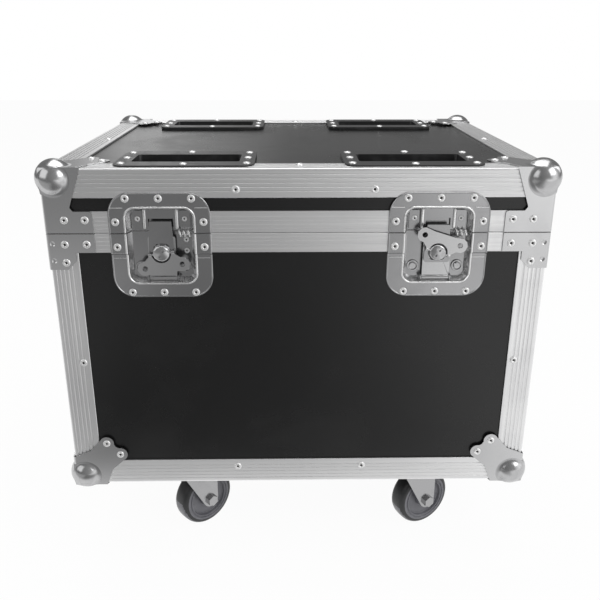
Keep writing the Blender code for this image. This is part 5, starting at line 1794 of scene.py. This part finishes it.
class RivetTree:
    """Geometry Nodes tree that sets a blind rivet on every point, along the point's outward direction."""

    def __init__(self, name: str) -> None:
        """Build the tree.

        Args:
            name: The tree's name.
        """
        self.tree = bpy.data.node_groups.new(name, "GeometryNodeTree")
        face = self.tree.interface
        face.new_socket(name="Points", in_out="INPUT", socket_type="NodeSocketGeometry")
        for label, default in (("Head Radius", 0.0042), ("Hole Radius", 0.0011), ("Head Height", 0.0013)):
            socket = face.new_socket(name=label, in_out="INPUT", socket_type="NodeSocketFloat")
            socket.default_value = default
        for label in ("Head Finish", "Stem Finish"):
            face.new_socket(name=label, in_out="INPUT", socket_type="NodeSocketMaterial")
        face.new_socket(name="Rivets", in_out="OUTPUT", socket_type="NodeSocketGeometry")
        self._wire()

    def identifier(self, label: str) -> str:
        """Identifier of a named input."""
        for item in self.tree.interface.items_tree:
            if item.in_out == "INPUT" and item.name == label:
                return item.identifier
        raise KeyError(label)

    def _wire(self) -> None:
        """Add and link the nodes."""
        graph = Graph(self.tree)
        given = graph.add("NodeGroupInput")
        wide = graph.maths("ADD", given.outputs["Head Radius"], given.outputs["Hole Radius"])
        middle = graph.maths("MULTIPLY", wide, 0.5)
        thick = graph.maths("SUBTRACT", given.outputs["Head Radius"], middle)
        round_path = graph.add("GeometryNodeCurvePrimitiveCircle", Resolution=20, Radius=middle)
        section = graph.add("GeometryNodeCurvePrimitiveCircle", Resolution=10, Radius=thick)
        head = graph.add("GeometryNodeCurveToMesh", Curve=round_path.outputs[0])
        graph.feed(head, "Profile Curve", section.outputs[0])
        flat = graph.maths("DIVIDE", given.outputs["Head Height"], thick)
        squash = graph.add("ShaderNodeCombineXYZ", X=1.0, Y=1.0, Z=flat)
        dome = graph.add("GeometryNodeTransform", Geometry=head.outputs[0], Scale=squash.outputs[0])
        # A stem fills the hole in each head; its near-black finish is painted shade of the hole.
        stem_wide = graph.maths("MULTIPLY", given.outputs["Hole Radius"], 1.4)
        stem = graph.add("GeometryNodeMeshCylinder", Vertices=12, Radius=stem_wide,
                         Depth=given.outputs["Head Height"])
        marked = graph.add("GeometryNodeStoreNamedAttribute", {"data_type": "BOOLEAN", "domain": "FACE"},
                           Geometry=stem.outputs["Mesh"], Name="stem", Value=True)
        rivet = graph.add("GeometryNodeJoinGeometry")
        self.tree.links.new(dome.outputs[0], rivet.inputs[0])
        self.tree.links.new(marked.outputs[0], rivet.inputs[0])
        smooth = graph.add("GeometryNodeSetShadeSmooth", Geometry=rivet.outputs[0])
        outward = graph.add("GeometryNodeInputNamedAttribute", {"data_type": "FLOAT_VECTOR"}, Name="outward")
        turn = graph.add("FunctionNodeAlignRotationToVector", {"axis": "Z"}, Vector=outward.outputs[0])
        size = graph.add("GeometryNodeInputNamedAttribute", {"data_type": "FLOAT"}, Name="size")
        placed = graph.add("GeometryNodeInstanceOnPoints", Points=given.outputs["Points"], Instance=smooth.outputs[0],
                           Rotation=turn.outputs[0], Scale=size.outputs[0])
        real = graph.add("GeometryNodeRealizeInstances", Geometry=placed.outputs[0])
        heads = graph.add("GeometryNodeSetMaterial", Geometry=real.outputs[0], Material=given.outputs["Head Finish"])
        is_stem = graph.add("GeometryNodeInputNamedAttribute", {"data_type": "BOOLEAN"}, Name="stem")
        stems = graph.add("GeometryNodeSetMaterial", Geometry=heads.outputs[0], Selection=is_stem.outputs[0],
                          Material=given.outputs["Stem Finish"])
        graph.add("NodeGroupOutput", Rivets=stems.outputs[0])


@dataclass(frozen=True)
class Rivet:
    """One rivet's place, its outward direction and its size against the usual head."""

    place: Vector
    outward: Vector
    size: float = 1.0


@dataclass
class Riveting:
    """Every rivet of the case, planned by body and set by one tree."""

    shop: Workshop
    top_spread: Point2 = (-0.065, 0.076)
    top_height: float = 0.3467
    bottom_spread: float = 0.072
    bottom_height: float = 0.021
    upright_inset: float = 0.0227
    upright_height: float = 0.155
    ear: Point2 = (0.039, 0.0535)
    lid_plate: tuple[Point2, ...] = ((0.0195, 0.3157), (0.0405, 0.3157))
    brace: tuple[Point2, ...] = ((0.0175, 0.290), (0.040, 0.290), (0.0172, 0.2705))
    latch_spread: float = 0.1437
    latch_row: float = 0.0335
    latch_side: float = 0.0450
    latch_levels: Point4 = (0.338, 0.3136, 0.2870, 0.2366)
    tab_rivets: tuple[Point2, ...] = ((-0.0242, 0.3145), (0.0242, 0.3145))
    pan_rivets: tuple[Point2, ...] = ((0.0250, 0.2920), (0.0250, 0.2799))
    pan_size: float = 0.68
    tab_level: float = -0.0083
    pan_floor: float = -0.0095
    cup_spread: float = 0.119
    cup_inset: float = 0.0555
    cup_end: float = 0.0645
    cup_rows: tuple[float, float, float] = (-0.034, 0.0, 0.034)
    cup_edge: float = 0.0385
    hinge_spread: float = 0.150
    hinge_half: float = 0.022
    hinge_rise: float = 0.0125
    handle_half: float = 0.0655
    handle_rise: float = 0.0440
    handle_height: float = 0.165
    side_spread: float = 0.060
    plan: dict[str, list[Rivet]] = field(default_factory=lambda: {"base": [], "lid": []})

    def build(self) -> None:
        """Plan the rivets and set them."""
        for face in (Face.FRONT, Face.BACK, Face.LEFT, Face.RIGHT):
            self.plan_edging(face)
            self.plan_corners(face)
        self.plan_top()
        self.plan_bottom()
        self.plan_latches()
        self.plan_cups()
        self.plan_hinges()
        self.plan_handles()
        tree = RivetTree("blind_rivets")
        for body, rivets in self.plan.items():
            self.set_rivets(f"{body}_rivets", body, rivets, tree)

    def add(self, body: str, face: Face, across: float, height: float, out: float, size: float = 1.0) -> None:
        """Plan one rivet.

        Args:
            body: The body that it rides on.
            face: The face that it is set in.
            across: Distance from the face's middle.
            height: Height above the case's underside, or distance from the middle of a flat face.
            out: Distance of the riveted surface from the face.
            size: Size against the usual head.
        """
        sizes = self.shop.sizes
        flat = face in (Face.TOP, Face.BOTTOM)
        up = height if flat else sizes.bottom + height
        self.plan[body].append(Rivet(sizes.on_face(face, across, up, out), face.outward, size))

    def plan_edging(self, face: Face) -> None:
        """Rivets along one side's aluminium."""
        half = self.shop.sizes.half_across(face)
        wide = face in (Face.FRONT, Face.BACK)
        for side, place in zip(SIDES.values(), self.top_spread):
            self.add("lid", face, place if wide else side * self.side_spread, self.top_height, 0.0)
            self.add("base", face, side * (self.bottom_spread if wide else self.side_spread), self.bottom_height, 0.0)
            self.add("base", face, side * (half - self.upright_inset), self.upright_height, 0.0)

    def plan_corners(self, face: Face) -> None:
        """Rivets through the corner plates on one side."""
        half = self.shop.sizes.half_across(face)
        for side in SIDES.values():
            for inset, height in self.lid_plate:
                self.add("lid", face, side * (half - inset), height, SHEET_OUTER)
            for inset, height in self.brace:
                self.add("base", face, side * (half - inset), height, SHEET_OUTER)
            for inset, height in (self.ear, self.ear[::-1]):
                self.add("base", face, side * (half - inset), height, SHEET_OUTER)

    def plan_top(self) -> None:
        """Rivets in the lid's top edging and corner plates."""
        sizes = self.shop.sizes
        for side_x, side_y in CORNERS.values():
            for a, b in (self.ear, self.ear[::-1]):
                self.add("lid", Face.TOP, side_x * (sizes.half_width - a), side_y * (sizes.half_depth - b),
                         SHEET_OUTER)
        for side in SIDES.values():
            self.add("lid", Face.TOP, side * (sizes.half_width - self.bottom_height), 0.0, 0.0)
            self.add("lid", Face.TOP, 0.0, side * (sizes.half_depth - self.bottom_height), 0.0)

    def plan_bottom(self) -> None:
        """Rivets in the base's bottom edging and corner plates."""
        sizes = self.shop.sizes
        for side_x, side_y in CORNERS.values():
            for a, b in (self.ear, self.ear[::-1]):
                self.add("base", Face.BOTTOM, side_x * (sizes.half_width - a), side_y * (sizes.half_depth - b),
                         SHEET_OUTER)
        for side in SIDES.values():
            self.add("base", Face.BOTTOM, side * (sizes.half_width - self.bottom_height), 0.0, 0.0)
            self.add("base", Face.BOTTOM, 0.0, side * (sizes.half_depth - self.bottom_height), 0.0)

    def plan_latches(self) -> None:
        """Rivets round the latches and in their pans."""
        top, upper, lower, foot = self.latch_levels
        sunk = SHEET_OUTER - PANEL_INSET
        for side in SIDES.values():
            middle = side * self.latch_spread
            for step in (-1, 0, 1):
                self.add("lid", Face.FRONT, middle + step * self.latch_row, top, SHEET_OUTER)
                self.add("base", Face.FRONT, middle + step * self.latch_row, foot, sunk)
            for step in SIDES.values():
                self.add("lid", Face.FRONT, middle + step * self.latch_side, upper, SHEET_OUTER)
                self.add("base", Face.FRONT, middle + step * self.latch_side, lower, SHEET_OUTER)
            for across, height in self.tab_rivets:
                self.add("lid", Face.FRONT, middle + across, height, self.tab_level, self.pan_size)
            for across, height in self.pan_rivets:
                self.add("base", Face.FRONT, middle + across, height, self.pan_floor, self.pan_size)

    def plan_cups(self) -> None:
        """Rivets round the stacking cups."""
        depth = self.shop.sizes.half_depth
        for side_x, side_y in CORNERS.values():
            x, y = side_x * self.cup_spread, side_y * (depth - self.cup_inset)
            for step in SIDES.values():
                for row in self.cup_rows:
                    self.add("lid", Face.TOP, x + step * self.cup_end, y + row, SHEET_OUTER)
                self.add("lid", Face.TOP, x, y + step * self.cup_edge, SHEET_OUTER)

    def plan_hinges(self) -> None:
        """Rivets through the hinge leaves."""
        split = self.shop.sizes.split - self.shop.sizes.bottom
        for side in SIDES.values():
            for step in (-1, 0, 1):
                across = side * self.hinge_spread + step * self.hinge_half
                self.add("base", Face.BACK, across, split - self.hinge_rise, 0.0023, 0.8)
                self.add("lid", Face.BACK, across, split + self.hinge_rise, 0.0023, 0.8)

    def plan_handles(self) -> None:
        """Rivets round the handle dishes."""
        sunk = SHEET_OUTER - PANEL_INSET
        for face in (Face.LEFT, Face.RIGHT):
            for step in (-1, 0, 1):
                for side in SIDES.values():
                    self.add("base", face, step * self.handle_half * 0.92,
                             self.handle_height + side * self.handle_rise, sunk)
            for side in SIDES.values():
                self.add("base", face, side * self.handle_half, self.handle_height, sunk)

    def set_rivets(self, name: str, body: str, rivets: list[Rivet], tree: RivetTree) -> None:
        """Set one body's rivets as one mesh.

        Args:
            name: Name of the piece.
            body: The body that it rides on.
            rivets: The rivets.
            tree: The tree that makes them.
        """
        mesh = bpy.data.meshes.new(name)
        mesh.from_pydata([tuple(rivet.place) for rivet in rivets], [], [])
        outward = mesh.attributes.new("outward", "FLOAT_VECTOR", "POINT")
        outward.data.foreach_set("vector", [value for rivet in rivets for value in rivet.outward])
        size = mesh.attributes.new("size", "FLOAT", "POINT")
        size.data.foreach_set("value", [rivet.size for rivet in rivets])
        obj = bpy.data.objects.new(name, mesh)
        bpy.context.scene.collection.objects.link(obj)
        modifier = obj.modifiers.new("rivets", "NODES")
        modifier.node_group = tree.tree
        modifier[tree.identifier("Head Finish")] = self.shop.finishes.rivet
        # The stems get the near-black finish, painted shade of the rivet holes.
        modifier[tree.identifier("Stem Finish")] = self.shop.finishes.stem
        Shop.settle(obj)
        self.shop.place(obj, body, "edging")


# Studio


@dataclass
class Studio:
    """Floor, surroundings, lights and the camera of the photograph."""

    camera_place: tuple[float, float, float] = (-0.01306, -0.9335, 0.60182)
    lens: float = 43.341
    pitch: float = math.radians(20.427)
    yaw: float = math.radians(-1.048)
    roll: float = math.radians(0.08)
    floor_half: float = 6.0
    floor_glow: float = 0.96
    floor_edge: Point2 = (-0.44, -0.30)
    floor_far: Point2 = (-1.7, -1.3)
    floor_reach: float = 1.2
    near_levels: tuple[Point2, ...] = ((-0.60, 0.55), (-0.42, 0.50), (-0.30, 0.24), (0.0, 0.33), (0.20, 0.60),
                                       (0.35, 1.0), (0.50, 0.95))
    far_levels: tuple[Point2, ...] = ((-0.80, 0.28), (0.0, 0.33), (0.40, 0.60), (0.86, 1.25))
    room_levels: tuple[Point2, ...] = ((-1.0, 0.20), (-0.60, 0.22), (0.0, 0.33), (0.48, 0.42), (0.72, 1.0), (1.0, 1.5))
    sky_reach: float = 0.5
    sky_levels: tuple[Point2, ...] = ((-0.40, 0.25), (-0.27, 0.35), (-0.21, 1.0), (-0.18, 1.0), (-0.14, 0.85),
                                      (-0.11, 0.58), (-0.06, 0.44), (0.0, 0.26), (0.30, 0.26))

    def build(self) -> None:
        """Set up everything round the object."""
        self.floor()
        self.world()
        self.lamp("key", (1.8, -1.5, 1.8), 1.5, 16.0)
        self.lamp("fill", (-1.8, -1.3, 1.4), 1.7, 9.0)
        self.lamp("top", (0.1, 0.3, 2.4), 2.0, 26.0)
        self.camera()
        bpy.context.scene.view_settings.view_transform = "Standard"

    def floor(self) -> None:
        """White floor that keeps a soft shadow under the object."""
        half = self.floor_half
        bm = bmesh.new()
        corners = [bm.verts.new((x, y, -0.0005)) for x, y in ((-half, -half), (half, -half), (half, half), (-half, half))]
        bm.faces.new(corners)
        material = bpy.data.materials.new("white_floor")
        material.use_nodes = True
        graph = Graph(material.node_tree)
        place = graph.add("ShaderNodeTexCoord")
        parts = graph.add("ShaderNodeSeparateXYZ", Vector=place.outputs["Object"])
        near, far = (self.levels(graph, parts.outputs["X"], stops, self.floor_reach)
                     for stops in (self.near_levels, self.far_levels))
        front = self.blend(graph, parts.outputs["Y"], self.floor_far, far, near)
        level = self.blend(graph, parts.outputs["Y"], self.floor_edge, front, 1.0)
        shader = material.node_tree.nodes["Principled BSDF"]
        graph.feed(shader, "Base Color", level)
        shader.inputs["Roughness"].default_value = 0.8
        glow = graph.add("ShaderNodeEmission", Color=self.white_to_camera(graph, level), Strength=1.0)
        share = self.seen_share(graph, self.floor_glow)
        mixed = graph.add("ShaderNodeMixShader", Fac=share)
        graph.feed(mixed, 1, shader.outputs[0])
        graph.feed(mixed, 2, glow.outputs[0])
        output = material.node_tree.nodes["Material Output"]
        graph.feed(output, "Surface", mixed.outputs[0])
        Shop.piece(bm, "studio_floor", material)

    @staticmethod
    def levels(graph: Graph, across: Socket, stops: Sequence[Point2],
               reach: float) -> Socket:
        """Grey levels from left to right.

        Args:
            graph: The graph that the nodes go into.
            across: What the levels follow.
            stops: Values of it and the levels there.
            reach: Largest value on either side.

        Returns:
            The socket with the level.
        """
        share = graph.add("ShaderNodeMapRange", Value=across, From_Min=-reach, From_Max=reach)
        ramp = graph.add("ShaderNodeValToRGB", Fac=share.outputs[0])
        elements = ramp.color_ramp.elements
        while len(elements) < len(stops):
            elements.new(1.0)
        for element, (place, level) in zip(elements, stops):
            element.position = 0.5 + place / (2 * reach)
            element.color = (level, level, level, 1.0)
        return ramp.outputs["Color"]

    def white_to_camera(self, graph: Graph, level: Socket) -> Socket:
        """White for the camera and a level of its own for every other ray.

        Args:
            graph: The graph that the nodes go into.
            level: The level for the other rays.

        Returns:
            The socket with the level.
        """
        path = graph.add("ShaderNodeLightPath")
        return self.blend(graph, path.outputs["Is Camera Ray"], (0.0, 1.0), level, 1.0)

    @staticmethod
    def seen_share(graph: Graph, share: float) -> Socket:
        """Share of white for rays from the camera, reflections and glass.

        Args:
            graph: The graph that the nodes go into.
            share: The share for those rays.

        Returns:
            The socket with the share.
        """
        path = graph.add("ShaderNodeLightPath")
        total = path.outputs["Is Camera Ray"]
        for label in ("Is Glossy Ray", "Is Transmission Ray"):
            total = graph.maths("MAXIMUM", total, path.outputs[label])
        return graph.maths("MULTIPLY", total, share)

    def world(self) -> None:
        """White behind the object, and a grey room on the camera's side."""
        world = bpy.data.worlds.new("studio")
        world.use_nodes = True
        bpy.context.scene.world = world
        graph = Graph(world.node_tree)
        direction = graph.add("ShaderNodeTexCoord")
        parts = graph.add("ShaderNodeSeparateXYZ", Vector=direction.outputs["Generated"])
        room = self.levels(graph, parts.outputs["X"], self.room_levels, 1.0)
        sky = self.levels(graph, parts.outputs["X"], self.sky_levels, self.sky_reach)
        level = self.blend(graph, parts.outputs["Y"], (-0.45, 0.25), room, sky)
        background = world.node_tree.nodes["Background"]
        graph.feed(background, "Color", self.white_to_camera(graph, level))
        background.inputs["Strength"].default_value = 1.0

    @staticmethod
    def blend(graph: Graph, value: Socket, span: Point2, low: object,
              high: object) -> Socket:
        """Smooth step between two levels.

        Args:
            graph: The graph that the nodes go into.
            value: What the step follows.
            span: Values where the step starts and ends.
            low: Level or socket before the step.
            high: Level or socket after it.

        Returns:
            The socket with the level.
        """
        step = graph.add("ShaderNodeMapRange", {"interpolation_type": "SMOOTHSTEP"}, Value=value, From_Min=span[0],
                         From_Max=span[1])
        mixed = graph.add("ShaderNodeMix", {"data_type": "FLOAT"})
        for index, part in ((0, step.outputs[0]), (2, low), (3, high)):
            graph.feed(mixed, index, part)
        return mixed.outputs[0]

    @staticmethod
    def lamp(name: str, place: tuple[float, float, float], size: float, power: float) -> None:
        """Soft square light aimed at the case.

        Args:
            name: The lamp's name.
            place: Where it stands.
            size: Length of its side.
            power: Power in watts.
        """
        light = bpy.data.lights.new(name, "AREA")
        light.size = size
        light.energy = power
        obj = bpy.data.objects.new(name, light)
        obj.location = place
        obj.rotation_euler = (Vector((0, 0, 0.3)) - Vector(place)).to_track_quat("-Z", "Y").to_euler()
        bpy.context.scene.collection.objects.link(obj)

    def camera(self) -> None:
        """Camera at the photograph's viewpoint."""
        data = bpy.data.cameras.new("photograph")
        data.lens = self.lens
        data.sensor_width = 36.0
        data.sensor_fit = "HORIZONTAL"
        data.clip_start = 0.01
        right = Vector((math.cos(self.yaw), math.sin(self.yaw), 0))
        ahead = Vector((-math.sin(self.yaw) * math.cos(self.pitch), math.cos(self.yaw) * math.cos(self.pitch),
                        -math.sin(self.pitch)))
        upward = right.cross(ahead)
        turned_right = right * math.cos(self.roll) + upward * math.sin(self.roll)
        turned_up = upward * math.cos(self.roll) - right * math.sin(self.roll)
        obj = bpy.data.objects.new("photograph", data)
        obj.matrix_world = framed(turned_right, turned_up, -ahead, Vector(self.camera_place))
        bpy.context.scene.collection.objects.link(obj)
        bpy.context.scene.camera = obj


def main() -> None:
    """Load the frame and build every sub-assembly."""
    logging.basicConfig(level=logging.INFO, format="%(name)s: %(message)s")
    for obj in list(bpy.data.objects):
        bpy.data.objects.remove(obj, do_unlink=True)
    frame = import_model()
    shop = Workshop(frame, CaseSizes.from_frame(), Finishes())
    Studio().build()
    for assembly in (Panels, Edging, Corners, StackingCups, Latches, Hinges, Handles, Castors, Riveting):
        assembly(shop).build()


if __name__ == "__main__":
    main()
